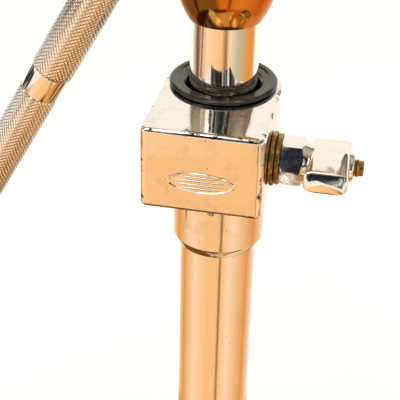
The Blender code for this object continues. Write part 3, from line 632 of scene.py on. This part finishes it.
def makeTubes():
    look = tubeLook
    outline = tubeOutline(look["lower"], look["lowerWall"], tubeLow.z, tubeHigh.z, 0.5 * mm)
    turned("lower_tube_plated", outline, platedTube, ["lower_tube"], atPost(), 128)
    low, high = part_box("upper_tube")
    outline = tubeOutline(look["upper"], look["upperWall"], low.z, high.z, 0.4 * mm)
    turned("upper_tube_plated", outline, platedTube, ["upper_tube"], atPost(), 128)
    low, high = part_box("crossbar")
    outline = tubeOutline(look["upper"], look["upperWall"], 0, high.x - low.x, 0.5 * mm)
    start = Vector((low.x, (low.y + high.y) / 2, (low.z + high.z) / 2))
    turned("crossbar_plated", outline, platedBar, ["crossbar"], alongAxis((1, 0, 0), start))
    refined("tube_plug", mouldedNylon)


bushingLook = {"lip": 20.1 * mm, "funnel": 13.9 * mm, "bore": 12.95 * mm, "sleeve": 15.1 * mm}


def makeBushing():
    look = bushingLook
    low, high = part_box("flanged_bushing")
    seat = clampTop + 0.3 * mm
    top = high.z
    turned("nylon_bushing", [
        (look["sleeve"], low.z, 0.3 * mm), (look["sleeve"], seat, 0.2 * mm), (look["lip"] - 0.4 * mm, seat, 0.3 * mm),
        (look["lip"], seat + 0.7 * mm, 0.5 * mm), (look["lip"], top - 0.7 * mm, 0.6 * mm),
        (look["lip"] - 0.9 * mm, top, 0.5 * mm), (look["lip"] - 2.4 * mm, top - 0.1 * mm, 0.4 * mm),
        (look["lip"] - 3.0 * mm, top - 0.75 * mm, 0.5 * mm), (look["funnel"] + 1.2 * mm, top - 0.75 * mm, 0.5 * mm),
        (look["funnel"], top - 1.9 * mm, 0.6 * mm), (look["bore"], top - 5 * mm, 0.4 * mm),
        (look["bore"], low.z, 0.2 * mm)], mouldedNylon, ["flanged_bushing"], atPost(), 128)


boltLook = {"radius": 3.4 * mm, "pitch": 1.25 * mm, "turns": 5, "threadDepth": 0.55 * mm,
            "head": 6.2 * mm, "headLength": 12 * mm, "washerBore": 3.7 * mm}


def makeCotterBolt():
    look = boltLook
    low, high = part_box("cotter_bolt")
    centre = (low + high) / 2
    length = high.x - low.x
    radius, pitch = look["radius"], look["pitch"]
    root = radius - look["threadDepth"]
    corners = [(0, 0, 0), (look["head"], 0, 1.1 * mm), (look["head"], look["headLength"], 0.3 * mm),
               (radius - 0.2 * mm, look["headLength"], 0.3 * mm)]
    start = length - (look["turns"] + 1.3) * pitch
    for turn in range(look["turns"]):
        corners.append((root, start + turn * pitch, 0.12 * mm))
        corners.append((radius, start + (turn + 0.5) * pitch, 0.12 * mm))
    corners += [(root, start + look["turns"] * pitch, 0.1 * mm), (root - 0.15 * mm, length, 0.5 * mm), (0, length, 0)]
    turned("cotter_bolt_turned", corners, turnedBrass, ["cotter_bolt"],
           alongAxis((1, 0, 0), (low.x, centre.y, centre.z)), 48, 3, angle=40)
    for name in ("inner_washer", "outer_washer"):
        low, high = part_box(name)
        middle = (low + high) / 2
        outer = (high.z - low.z) / 2
        thick = high.x - low.x
        turned(name + "_turned", [
            (look["washerBore"], 0, 0.2 * mm), (outer - 0.2 * mm, 0, 0.3 * mm), (outer, thick * 0.5, 0.6 * mm),
            (outer - 0.2 * mm, thick, 0.4 * mm), (outer * 0.72, thick, 0.3 * mm),
            (look["washerBore"], thick - 0.2 * mm, 0.2 * mm)],
            turnedBrass, [name], alongAxis((1, 0, 0), (low.x, middle.y, middle.z)), 72)


# ---- wing nuts and wing screws

def wingMesh(bm, matrix, span, width, thick, centre, hump=1.0, waist=0.80, draft=0.0):
    # a lofted grip: rounded stations along its span, thickened over the hub and cut square at the ends
    stations = [-1, -0.985, -0.95] + [-0.9 + 0.1 * i for i in range(19)] + [0.95, 0.985, 1]
    around = 40
    rings = []
    for t in stations:
        reach = abs(t)
        ends = {1: 0.80, 0.985: 0.95}.get(reach, 1.0)
        half = width / 2 * (waist + (1 - waist) * math.sin(reach * math.pi / 2) ** 2) * ends
        rise = thick / 2 * (1 + (hump - 1) * (1 - reach ** 1.6) ** 1.4) * ends
        ring = []
        for j in range(around):
            angle = math.tau * (j + 0.5) / around
            c, s = math.cos(angle), math.sin(angle)
            x = half * math.copysign(abs(c) ** 0.42, c)
            y = rise * math.copysign(abs(s) ** 0.42, s)
            lean = draft * (y + rise) * reach ** 6
            ring.append(bm.verts.new(matrix @ Vector((t * span / 2 - math.copysign(lean, t), y, centre + x))))
        rings.append(ring)
    for a, b in zip(rings, rings[1:]):
        for j in range(around):
            k = (j + 1) % around
            bm.faces.new((a[j], a[k], b[k], b[j]))
    bm.faces.new(rings[0])
    bm.faces.new(list(reversed(rings[-1])))


wingNutLook = {
    "hexWidth": 15.6 * mm, "hexLength": 8.0 * mm, "neck": 6.3 * mm, "bore": 3.7 * mm, "length": 26 * mm,
    "span": 30 * mm, "width": 15.5 * mm, "thick": 7.2 * mm, "gripCentre": 17.0 * mm,
    "hump": 1.85, "draft": 0.3,   # how much thicker the grip is over the hub, and how its ends lean
}


def makeWingNut(node, axis):
    look = wingNutLook
    low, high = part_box(node)
    middle = (low + high) / 2
    matrix = alongAxis(axis, (low.x, middle.y, middle.z))
    bm = bmesh.new()
    hexRadius = look["hexWidth"] / 2 / math.cos(math.pi / 6)
    side = 2 * math.pi / 6

    def hexagon(point):
        angle = math.atan2(point.y, point.x)
        reach = Vector((point.x, point.y)).length
        if reach < look["neck"] or point.z > look["hexLength"] + 0.2 * mm:
            return point
        limit = hexRadius * math.cos(side / 2) / math.cos((angle % side) - side / 2)
        scale = min(1.0, limit / reach)
        return Vector((point.x * scale, point.y * scale, point.z))

    hexEnd = look["hexLength"]
    turnedMesh(bm, [(look["bore"], 0, 0), (hexRadius * 0.93, 0, 0.2 * mm), (hexRadius, 0.9 * mm, 0.3 * mm),
                    (hexRadius, hexEnd - 0.6 * mm, 0.5 * mm), (hexRadius * 0.9, hexEnd, 0.3 * mm),
                    (look["neck"], hexEnd + 3.4 * mm, 1.5 * mm), (look["neck"], 21 * mm, 2 * mm),
                    (5.0 * mm, look["length"], 1 * mm), (look["bore"], look["length"], 0.3 * mm)],
               matrix, 72, 4, hexagon)
    wingMesh(bm, matrix, look["span"], look["width"], look["thick"], look["gripCentre"], look["hump"], 1.0,
             look["draft"])
    addPiece(node + "_cast", meshOf(bm, node, 38), platedCasting, bodyOf[node], [node])


wingScrewLook = {"thread": 3.0 * mm, "root": 2.6 * mm, "pitch": 1.0 * mm, "collar": 6 * mm, "collarEnd": 5.6 * mm,
                 "neck": 4.4 * mm, "hub": 15.8 * mm, "span": 28 * mm, "width": 10.8 * mm, "thick": 5 * mm,
                 "gripCentre": 11 * mm}


def makeWingScrew(node, axis, shaft):
    look = wingScrewLook
    low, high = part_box(node)
    middle = (low + high) / 2
    axis = Vector(axis)
    tip = Vector([middle[i] if abs(axis[i]) < 0.5 else (low[i] if axis[i] > 0 else high[i]) for i in range(3)])
    matrix = alongAxis(axis, tip)
    bm = bmesh.new()
    pitch = look["pitch"]
    corners = [(0, 0, 0), (look["root"] - 0.3 * mm, 0, 0.3 * mm)]
    for turn in range(int(shaft / pitch)):
        corners.append((look["thread"], (turn + 0.5) * pitch, 0.1 * mm))
        corners.append((look["root"], (turn + 1) * pitch, 0.1 * mm))
    hubEnd = shaft + look["hub"]
    corners += [(look["collar"] - 0.2 * mm, shaft + 0.1 * mm, 0.6 * mm),
                (look["collar"], shaft + look["collarEnd"], 0.8 * mm), (look["neck"], shaft + 8 * mm, 1 * mm),
                (look["neck"], hubEnd - 1.8 * mm, 1 * mm), (3 * mm, hubEnd, 0.8 * mm), (0, hubEnd, 0)]
    turnedMesh(bm, corners, matrix, 48, 3)
    upright = matrix @ Matrix.Rotation(math.pi / 2, 4, "Z")
    wingMesh(bm, upright, look["span"], look["width"], look["thick"], shaft + look["gripCentre"])
    addPiece(node + "_cast", meshOf(bm, node, 38), platedSmall, bodyOf[node], [node])


# ---- tilter and bell rod

cupLook = {
    "bottom": 26.9 * mm, "top": 68 * mm,   # above the clamp's top
    "lip": 13.7 * mm, "wide": 18.8 * mm, "bowl": 19 * mm, "roundness": 2.2,   # the bowl grows from lip to full width
    "bore": 13 * mm, "shoulder": 17.6 * mm, "roof": 4 * mm,
    "ear": 12 * mm, "earThick": 5.5 * mm, "earGap": 8 * mm, "pivotHole": 3.7 * mm,
}


def makeTilter():
    look = cupLook
    tilt = joints["tilter_tilt"]["pos_m"][2]
    top = clampTop + look["top"]
    rim = clampTop + look["bottom"]
    roof = top - look["roof"]
    outline = [(look["bore"], rim, 0.2 * mm)]
    steps = 12
    for k in range(steps + 1):
        grown = 1 - (1 - k / steps) ** look["roundness"]
        outline.append((look["lip"] + (look["wide"] - look["lip"]) * grown, rim + look["bowl"] * k / steps, 0))
    outline += [
        (look["wide"], top - 12 * mm, 4 * mm), (look["shoulder"], top - 1 * mm, 2 * mm), (14 * mm, top, 1 * mm),
        (0, top, 0), (0, roof, 0), (look["bore"], roof, 0)]
    cup = turnedOnly(outline, atPost(), 128)
    half = look["ear"]
    plan = [(-half, top - 5 * mm), (half, top - 5 * mm)] + arcPoints(half, 0, 180, 24, (0, tilt))
    ears = []
    for inner in (look["earGap"], -look["earGap"] - look["earThick"]):
        ear = slab(plan, 0, look["earThick"], alongAxis((1, 0, 0), (postX + inner, postY, 0)))
        ears.append(worked(ear, bevel=0.8 * mm))
    reach = Vector((20 * mm, 0, 0))
    pivot = Vector((postX, postY, tilt))
    hole = bar(pivot - reach, pivot + reach, look["pivotHole"], 32)
    mesh = worked(cup, joins=ears, cuts=[hole])
    addPiece("tilter_cup", mesh, lacquerAndShadeCup, bodyOf["tilter_base"], ["tilter_base"])
    refined("tilter_head", platedCasting, 0.8, 3)
    boltLow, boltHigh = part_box("tilt_bolt")
    centre = (boltLow + boltHigh) / 2
    length = boltHigh.x - boltLow.x
    turned("tilt_bolt_turned", [
        (0, 0, 0), (6.6 * mm, 0, 0.8 * mm), (7.6 * mm, 1.4 * mm, 0.6 * mm), (7.6 * mm, 4 * mm, 0.3 * mm),
        (3.4 * mm, 4 * mm, 0.3 * mm), (3.4 * mm, length, 0.8 * mm), (0, length, 0)], platedSmall, ["tilt_bolt"],
        alongAxis((1, 0, 0), (boltLow.x, centre.y, centre.z)), 48, 3)


rodLook = {
    "upper": 7.6 * mm, "neck": 6.95 * mm, "lower": 7.15 * mm, "chamfer": 1.3 * mm,
    "above": 35 * mm, "upperBelow": 111 * mm, "neckLength": 11 * mm, "lowerLength": 160 * mm,   # from its pivot
    "skin": 0.06 * mm,   # the smooth neck's own plating stands this far out
}


def makeBellRod():
    look = rodLook
    pivot = Vector(joints["bell_swing"]["pos_m"])
    matrix = alongAxis(joints["bell_slide"]["axis"], pivot)
    neckTop = -look["upperBelow"]
    neckLow = neckTop - look["neckLength"]
    end = neckLow - look["lowerLength"]
    cut = look["chamfer"]
    turned("bell_rod_knurled", [
        (0, end, 0), (look["lower"] - cut, end, 0.3 * mm), (look["lower"], end + cut, 0.3 * mm),
        (look["lower"], neckLow - 0.6 * mm, 0.2 * mm), (look["neck"] - 0.1 * mm, neckLow, 0.2 * mm),
        (look["neck"], neckTop - cut, 0.2 * mm), (look["upper"], neckTop, 0.3 * mm),
        (look["upper"], look["above"] - cut, 0.3 * mm), (look["upper"] - cut, look["above"], 0.3 * mm),
        (0, look["above"], 0)], knurledSteel, ["bell_rod"], matrix, 96, 3, local=True)
    outer, inner = look["neck"] + look["skin"], look["neck"] - 0.6 * mm
    bm = turnedMesh(bmesh.new(), [
        (inner, neckLow - 0.1 * mm, 0), (outer, neckLow + 0.1 * mm, 0.1 * mm),
        (outer, neckTop - cut * 0.9, 0.2 * mm), (inner, neckTop - cut * 0.5, 0)], Matrix(), 96, 3)
    addPiece("bell_rod_neck", meshOf(bm, "neck"), platedTube, bodyOf["bell_rod"], (), matrix)
    refined("bell_clamp", platedCasting, 0.5, 2)
    makeWingScrew("bell_wing_screw", (0, -1, 0), 2.6 * mm)


# ---- drums

drumLook = {
    "lugs": 5, "wall": 1.3 * mm, "turnedIn": 6 * mm,
    "beadPlace": 0.10, "beadDepth": 2.2 * mm, "beadWidth": 9 * mm,   # one bead rolled in, a tenth of the way up
    "roll": 2.0 * mm,                                                # the hoop's rolled playing edge
}


def shellCorners(radius, low, high):
    look = drumLook
    inner = radius - look["wall"]
    lip = radius - look["turnedIn"]
    start = low + (high - low) * look["beadPlace"]
    bead = [(look["beadDepth"] * math.sin(math.pi * k / 8) ** 2, start + look["beadWidth"] * k / 8) for k in range(9)]
    corners = [(lip, low, 0.4 * mm), (radius, low, 1.4 * mm)]
    corners += [(radius - 0.2 * mm - depth, z, 0) for depth, z in bead]
    corners += [(radius, high - 3 * mm, 1 * mm), (radius - 0.5 * mm, high, 0.4 * mm),
                (inner, high - 0.2 * mm, 0.3 * mm)]
    corners += [(inner - depth, z, 0) for depth, z in reversed(bead)]
    corners += [(inner, low + 1.4 * mm, 1 * mm), (lip, low + 1.4 * mm, 0.4 * mm)]
    return corners


def makeDrum(side):
    low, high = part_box(side + "_shell")
    centre = (low + high) / 2
    radius = (high.x - low.x) / 2
    place = Matrix.Translation((centre.x, centre.y, 0))
    turned(side + "_shell_rolled", shellCorners(radius, low.z, high.z), buffedSteel, [side + "_shell"], place, 144, 4)
    top = high.z
    collar, flesh = radius + 1.4 * mm, radius + 6 * mm   # the film's turned-down collar and the ring it ends in
    turned(side + "_head_film", [
        (0, top + 0.8 * mm, 0), (radius - 2 * mm, top + 0.8 * mm, 2 * mm), (collar, top + 0.1 * mm, 1.2 * mm),
        (collar, top - 7 * mm, 0.4 * mm), (flesh, top - 7 * mm, 1.2 * mm), (flesh, top - 13 * mm, 1.2 * mm),
        (radius + 0.5 * mm, top - 13 * mm, 0.5 * mm), (radius + 0.5 * mm, top + 0.2 * mm, 0),
        (0, top + 0.3 * mm, 0)], coatedFilm, [side + "_head"], place, 144, 4)
    makeHoop(side, radius, top, place)
    for number in range(1, drumLook["lugs"] + 1):
        refined("%s_lug_%d" % (side, number), platedCasting, 0.9, 3)
        makeTensionRod("%s_tension_rod_%d" % (side, number))
    refined(side + "_bracket", platedCasting, 0.5, 2)
    makeWingScrew(side + "_bracket_screw", (0, 1, 0), 4.8 * mm)


def makeHoop(side, radius, top, place):
    # pressed steel hoop with a rolled playing edge and a drilled flange
    roll = drumLook["roll"]
    centre = (radius + 2 * mm + roll, top + 9 * mm - roll)
    corners = [(radius + 2 * mm, top + 6.6 * mm, 0)]
    corners += [(r, z, 0) for r, z in arcPoints(roll, 180, -60, 12, centre)]
    corners += [(radius + 3.6 * mm, top + 5 * mm, 0.3 * mm), (radius + 3.6 * mm, top - 5.1 * mm, 1.4 * mm),
                (radius + 8.1 * mm, top - 5.1 * mm, 1.4 * mm), (radius + 8.1 * mm, top - 12 * mm, 1.4 * mm),
                (radius + 20 * mm, top - 12 * mm, 0.5 * mm), (radius + 20 * mm, top - 13.8 * mm, 0.5 * mm),
                (radius + 6.5 * mm, top - 13.8 * mm, 1.6 * mm), (radius + 6.5 * mm, top - 6.7 * mm, 1 * mm),
                (radius + 2 * mm, top - 6.7 * mm, 0.8 * mm)]
    bm = turnedMesh(bmesh.new(), corners, place, 144, 4)
    hoop = meshOf(bm, side + "_hoop")
    holes = []
    for number in range(1, drumLook["lugs"] + 1):
        low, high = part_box("%s_tension_rod_%d" % (side, number))
        middle = (low + high) / 2
        holes.append(bar((middle.x, middle.y, top - 20 * mm), (middle.x, middle.y, top - 8 * mm), 3.1 * mm, 24))
    mesh = worked(hoop, cuts=holes)
    addPiece(side + "_hoop_pressed", mesh, platedPress, bodyOf[side + "_hoop"], [side + "_hoop"])


tensionLook = {"thread": 2.4 * mm, "root": 2.05 * mm, "pitch": 0.9 * mm, "turns": 26, "shaft": 2.3 * mm,
               "washer": 5.3 * mm, "head": 3.9 * mm, "headLength": 10 * mm, "flat": 2.75 * mm}


def makeTensionRod(node):
    look = tensionLook
    low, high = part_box(node)
    middle = (low + high) / 2
    matrix = Matrix.Translation((middle.x, middle.y, low.z))
    length = high.z - low.z
    seat = length - look["headLength"]
    pitch = look["pitch"]
    corners = [(0, 0, 0), (2.0 * mm, 0, 0.3 * mm)]
    for turn in range(look["turns"]):
        corners.append((look["thread"], (turn + 1.0) * pitch, 0))
        corners.append((look["root"], (turn + 1.5) * pitch, 0))
    corners += [(look["shaft"], (look["turns"] + 2) * pitch, 0.2 * mm), (look["shaft"], seat, 0.2 * mm),
                (look["washer"], seat, 0.4 * mm), (look["washer"], seat + 1.8 * mm, 0.6 * mm),
                (look["head"], seat + 2.3 * mm, 0.3 * mm), (look["head"], length - 0.6 * mm, 0.2 * mm),
                (look["head"] - 0.6 * mm, length, 0.3 * mm), (0, length, 0)]

    def squareHead(point):
        # the key end is square: points past the flats are pulled in
        if point.z < seat + 2.4 * mm:
            return point
        flat = look["flat"]
        return Vector((max(-flat, min(flat, point.x)), max(-flat, min(flat, point.y)), point.z))

    bm = turnedMesh(bmesh.new(), corners, matrix, 32, 2, squareHead)
    addPiece(node + "_turned", meshOf(bm, node, 40), platedSmall, bodyOf[node], [node])


# ---- tripod

def makeTripod():
    refined("leg_slider", platedCasting, 0.6, 3)
    refined("brace_hub", platedCasting, 0.6, 3)
    makeWingScrew("slider_wing_screw", (0, -1, 0), 10 * mm)
    for number in (1, 2, 3):
        refined("leg_%d" % number, platedTube, 0.3, 2)
        refined("brace_%d" % number, platedPress, 0.4, 2)
        makeFoot(number)


footLook = {
    "lean": 52, "start": 372 * mm,   # the leg's angle from upright in degrees, and where the foot begins along it
    "bore": 7.3 * mm, "boreDepth": 30 * mm, "mouth": 8.4 * mm, "body": 9.4 * mm, "ring": 10.4 * mm, "rings": 3,
    "ringPitch": 4 * mm, "length": 48 * mm,
}


def makeFoot(number):
    # a rubber tip with three moulded rings and a flat worn where it stands
    look = footLook
    low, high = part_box("foot_%d" % number)
    pivot = Vector(joints["leg_%d_turn" % number]["pos_m"])
    middle = (low + high) / 2
    outward = Vector((middle.x - pivot.x, middle.y - pivot.y, 0)).normalized()
    lean = math.radians(look["lean"])
    down = outward * math.sin(lean) - Vector((0, 0, math.cos(lean)))
    bore, body, ring, end = look["bore"], look["body"], look["ring"], look["length"]
    corners = [(0, look["boreDepth"], 0), (bore, look["boreDepth"], 0.2 * mm), (bore, 0, 0.2 * mm),
               (look["mouth"], 0, 0.6 * mm), (body - 0.2 * mm, 5 * mm, 1 * mm)]
    for k in range(look["rings"]):
        z = 7 * mm + look["ringPitch"] * k
        corners += [(body, z, 0.3 * mm), (ring, z + 0.8 * mm, 0.4 * mm), (ring, z + 2.4 * mm, 0.4 * mm),
                    (body + 0.2 * mm, z + 3.2 * mm, 0.3 * mm)]
    corners += [(ring, 24 * mm, 1 * mm), (ring + 0.1 * mm, end - 2 * mm, 1 * mm), (ring - 0.5 * mm, end, 1 * mm),
                (0, end, 0)]
    bm = turnedMesh(bmesh.new(), corners, alongAxis(down, pivot + down * look["start"]), 64, 4)
    cut = bmesh.ops.bisect_plane(bm, geom=bm.verts[:] + bm.edges[:] + bm.faces[:], plane_co=(0, 0, 0),
                                 plane_no=(0, 0, 1), clear_inner=True)
    rim = [item for item in cut["geom_cut"] if isinstance(item, bmesh.types.BMEdge)]
    bmesh.ops.holes_fill(bm, edges=rim, sides=0)
    node = "foot_%d" % number
    addPiece(node + "_moulded", meshOf(bm, "foot", 38), mouldedRubber, bodyOf[node], [node])


makeClampBlock()
makeBadge()
makeTubes()
makeBushing()
makeCotterBolt()
makeWingNut("clamp_wing_nut", (1, 0, 0))
print("height clamp made")
makeTilter()
makeWingNut("tilt_wing_nut", (1, 0, 0))
makeBellRod()
print("tilter and bell rod made")
for side in ("left", "right"):
    makeDrum(side)
print("drums made")
makeTripod()
print("tripod made")


# ---- studio

studioLook = {
    "floorPale": "FBFAF9", "floorShade": "F6F4F2", "floorSize": 30,
    "sky": "FFF8EE", "skyStrength": 1.04,
    # place in metres and power in watts of each softbox
    "softboxes": {"key_softbox": ((-1.1, -0.9, 2.6), 19), "fill_softbox": ((1.6, 0.4, 2.2), 11.4)},
    "softboxSize": 1.6,
}


def stagePlane(name, size, height, material):
    bm = bmesh.new()
    bmesh.ops.create_grid(bm, x_segments=1, y_segments=1, size=size)
    mesh = bpy.data.meshes.new(name)
    bm.to_mesh(mesh)
    bm.free()
    plane = bpy.data.objects.new(name, mesh)
    bpy.context.scene.collection.objects.link(plane)
    plane.location = (0, 0, height)
    mesh.materials.append(material)
    return plane


def makeFloor():
    look = studioLook
    material, tree, shader = newMaterial("pale studio floor", {"Roughness": 0.9, "Specular IOR Level": 0.1})
    place = addNode(tree, "ShaderNodeTexCoord").outputs["Object"]
    cloud = addNode(tree, "ShaderNodeTexNoise", {"Scale": 3.0, "Detail": 3}, {"Vector": place}).outputs["Fac"]
    tint = addNode(tree, "ShaderNodeMix",
                   {"data_type": "RGBA", 6: toLinear(look["floorPale"]), 7: toLinear(look["floorShade"])},
                   {0: cloud}).outputs[2]
    tree.links.new(tint, shader.inputs["Base Color"])
    stagePlane("studio_floor", look["floorSize"], 0, material)


def glossyOnly(item):
    item.visible_camera = False
    item.visible_diffuse = False
    item.visible_shadow = False
    item.visible_transmission = False


warmReflectionGlow = {
    # a glowing card round the stand, seen by reflections only: painted warm reflections in a few even shades
    "shades": {"honey": "F4BE84", "amber": "DE9648", "cream": "FAD4AC", "umber": "8A6034", "walnut": "6C4418",
               "sage": "BCB89C", "white": "FFF8EC"},
    # where each shade is at its fullest: degrees from the front face towards the wing nut
    "inner": [(-180, "umber"), (-110, "walnut"), (10, "walnut"), (16, "amber"), (40, "amber"), (80, "walnut"),
              (115, "cream"), (180, "umber")],
    "middle": [(-180, "white"), (-110, "amber"), (-60, "cream"), (-20, "honey"), (12, "honey"), (18, "umber"),
               (24, "honey"), (45, "cream"), (110, "amber"), (180, "white")],
    "outer": [(-180, "white"), (-120, "white"), (-90, "walnut"), (-50, "cream"), (0, "honey"), (14, "umber"),
              (25, "cream"), (55, "sage"), (90, "amber"), (115, "amber"), (130, "white"), (180, "white")],
    "innerEdge": 0.5, "outerEdge": 1.2, "edgeBlend": 0.04,   # metres from the post
    "strength": 1.14, "size": 3.2, "lift": 1.5 * mm,
}


def makeWarmReflectionGlow():
    look = warmReflectionGlow
    material = bpy.data.materials.new("glowing card painting warm reflections")
    material.use_nodes = True
    tree = material.node_tree
    tree.nodes.clear()
    place = addNode(tree, "ShaderNodeTexCoord").outputs["Object"]
    split = addNode(tree, "ShaderNodeSeparateXYZ", None, {0: place})
    forward = addNode(tree, "ShaderNodeMath", {"operation": "MULTIPLY", 1: -1.0},
                      {0: split.outputs[1]}).outputs[0]
    bearing = addNode(tree, "ShaderNodeMath", {"operation": "ARCTAN2"},
                      {0: split.outputs[0], 1: forward}).outputs[0]
    share = addNode(tree, "ShaderNodeMapRange", {"From Min": -math.pi, "From Max": math.pi},
                    {"Value": bearing}).outputs[0]
    distance = addNode(tree, "ShaderNodeVectorMath", {"operation": "LENGTH"}, {0: place}).outputs["Value"]
    colour = None
    for ring, edge in (("inner", None), ("middle", look["innerEdge"]), ("outer", look["outerEdge"])):
        ramp = addNode(tree, "ShaderNodeValToRGB", None, {0: share})
        for _ in look[ring][2:]:
            ramp.color_ramp.elements.new(0.5)
        for element, (degrees, shade) in zip(ramp.color_ramp.elements, look[ring]):
            element.position = (degrees + 180) / 360
            element.color = toLinear(look["shades"][shade])
        if edge is None:
            colour = ramp.outputs[0]
            continue
        beyond = addNode(tree, "ShaderNodeMapRange", {"From Min": edge, "From Max": edge + look["edgeBlend"]},
                         {"Value": distance}).outputs[0]
        colour = addNode(tree, "ShaderNodeMix", {"data_type": "RGBA"},
                         {0: beyond, 6: colour, 7: ramp.outputs[0]}).outputs[2]
    # the card glows though it is no lamp: it paints warm reflections into the chrome
    glow = addNode(tree, "ShaderNodeEmission", {"Strength": look["strength"]}, {"Color": colour})
    addNode(tree, "ShaderNodeOutputMaterial", None, {"Surface": glow.outputs[0]})
    card = stagePlane("warm_reflection_glow_card", look["size"], 0, material)
    card.location = (postX, postY, look["lift"])
    glossyOnly(card)


paintedReflectionBoards = {
    # glowing boards seen by reflections only: painted reflections of dim parts of the room. Bearing from the front
    # face in degrees, then distance, width, bottom and top in metres
    "places": {"front": (8, 1.0, 1.7, 0.60, 1.75), "left": (-104, 1.25, 1.3, 0.33, 0.66)},
    "shades": ((0.50, "23262A"), (0.58, "757874"), (0.66, "F2EDE4")),
    "folds": 8, "drop": 0.9,   # how often the shade changes along and up a board
}


def makePaintedReflectionBoards():
    look = paintedReflectionBoards
    material = bpy.data.materials.new("glowing boards painting dim reflections")
    material.use_nodes = True
    tree = material.node_tree
    tree.nodes.clear()
    place = addNode(tree, "ShaderNodeTexCoord").outputs["Object"]
    tall = addNode(tree, "ShaderNodeMapping", {"Scale": (look["folds"], look["drop"], 1)},
                   {"Vector": place}).outputs[0]
    folds = addNode(tree, "ShaderNodeTexNoise", {"Scale": 1.0, "Detail": 3, "Roughness": 0.6},
                    {"Vector": tall}).outputs["Fac"]
    ramp = addNode(tree, "ShaderNodeValToRGB", None, {0: folds})
    ramp.color_ramp.elements.new(0.5)
    for element, (position, colour) in zip(ramp.color_ramp.elements, look["shades"]):
        element.position = position
        element.color = toLinear(colour)
    # the boards glow though they are no lamps: they paint dark and pale reflections into the chrome
    glow = addNode(tree, "ShaderNodeEmission", {"Strength": 1.0}, {"Color": ramp.outputs[0]})
    addNode(tree, "ShaderNodeOutputMaterial", None, {"Surface": glow.outputs[0]})
    for name, (bearing, distance, width, low, high) in look["places"].items():
        turn = math.radians(bearing)
        board = stagePlane("painted_reflection_board_" + name, 0.5, 0, material)
        spot = (postX + distance * math.sin(turn), postY - distance * math.cos(turn), (low + high) / 2)
        board.matrix_world = (
            Matrix.Translation(spot) @ Matrix.Rotation(turn, 4, "Z") @ Matrix.Rotation(math.pi / 2, 4, "X")
            @ Matrix.Diagonal((width, high - low, 1, 1)))
        glossyOnly(board)


def makeLights():
    look = studioLook
    world = bpy.data.worlds.new("soft studio")
    bpy.context.scene.world = world
    world.use_nodes = True
    tree = world.node_tree
    tree.nodes.clear()
    sky = addNode(tree, "ShaderNodeBackground", {"Color": toLinear(look["sky"]), "Strength": look["skyStrength"]})
    addNode(tree, "ShaderNodeOutputWorld", None, {"Surface": sky.outputs[0]})
    for name, (spot, energy) in look["softboxes"].items():
        light = bpy.data.lights.new(name, "AREA")
        light.energy = energy
        light.size = look["softboxSize"]
        lamp = bpy.data.objects.new(name, light)
        bpy.context.scene.collection.objects.link(lamp)
        lamp.location = spot
        aim = Vector((postX, postY, clampTop)) - Vector(spot)
        lamp.rotation_euler = aim.to_track_quat("-Z", "Y").to_euler()


cameraLook = {
    # the close view of the clamp, in degrees: bearing from the front face towards the wing nut, height and roll
    "bearing": 10.85, "height": 31.9, "roll": 1.4,
    # the point looked at, right of the post and below the clamp's top, and how far off the camera is
    "aimRight": -7.8 * mm, "aimDrop": 52.6 * mm, "distance": 457.9 * mm,
    "lens": 103.8, "sensor": 36, "clipStart": 0.01,
}


def makeCamera():
    look = cameraLook
    bearing, height, roll = (math.radians(look[key]) for key in ("bearing", "height", "roll"))
    flat = math.cos(height)
    back = Vector((math.sin(bearing) * flat, -math.cos(bearing) * flat, math.sin(height)))
    level = Vector((math.cos(bearing), math.sin(bearing), 0))
    upright = back.cross(level)
    right = level * math.cos(roll) + upright * math.sin(roll)
    up = back.cross(right)
    spot = Vector((postX + look["aimRight"], postY, clampTop - look["aimDrop"])) + back * look["distance"]
    data = bpy.data.cameras.new("camera")
    data.lens = look["lens"]
    data.sensor_width = look["sensor"]
    data.clip_start = look["clipStart"]
    camera = bpy.data.objects.new("camera", data)
    bpy.context.scene.collection.objects.link(camera)
    turn = Matrix((right, up, back)).transposed().to_4x4()
    camera.matrix_world = Matrix.Translation(spot) @ turn
    bpy.context.scene.camera = camera


makeFloor()
makeWarmReflectionGlow()
makePaintedReflectionBoards()
makeLights()
makeCamera()
bpy.context.scene.view_settings.view_transform = "Standard"
print("studio made")
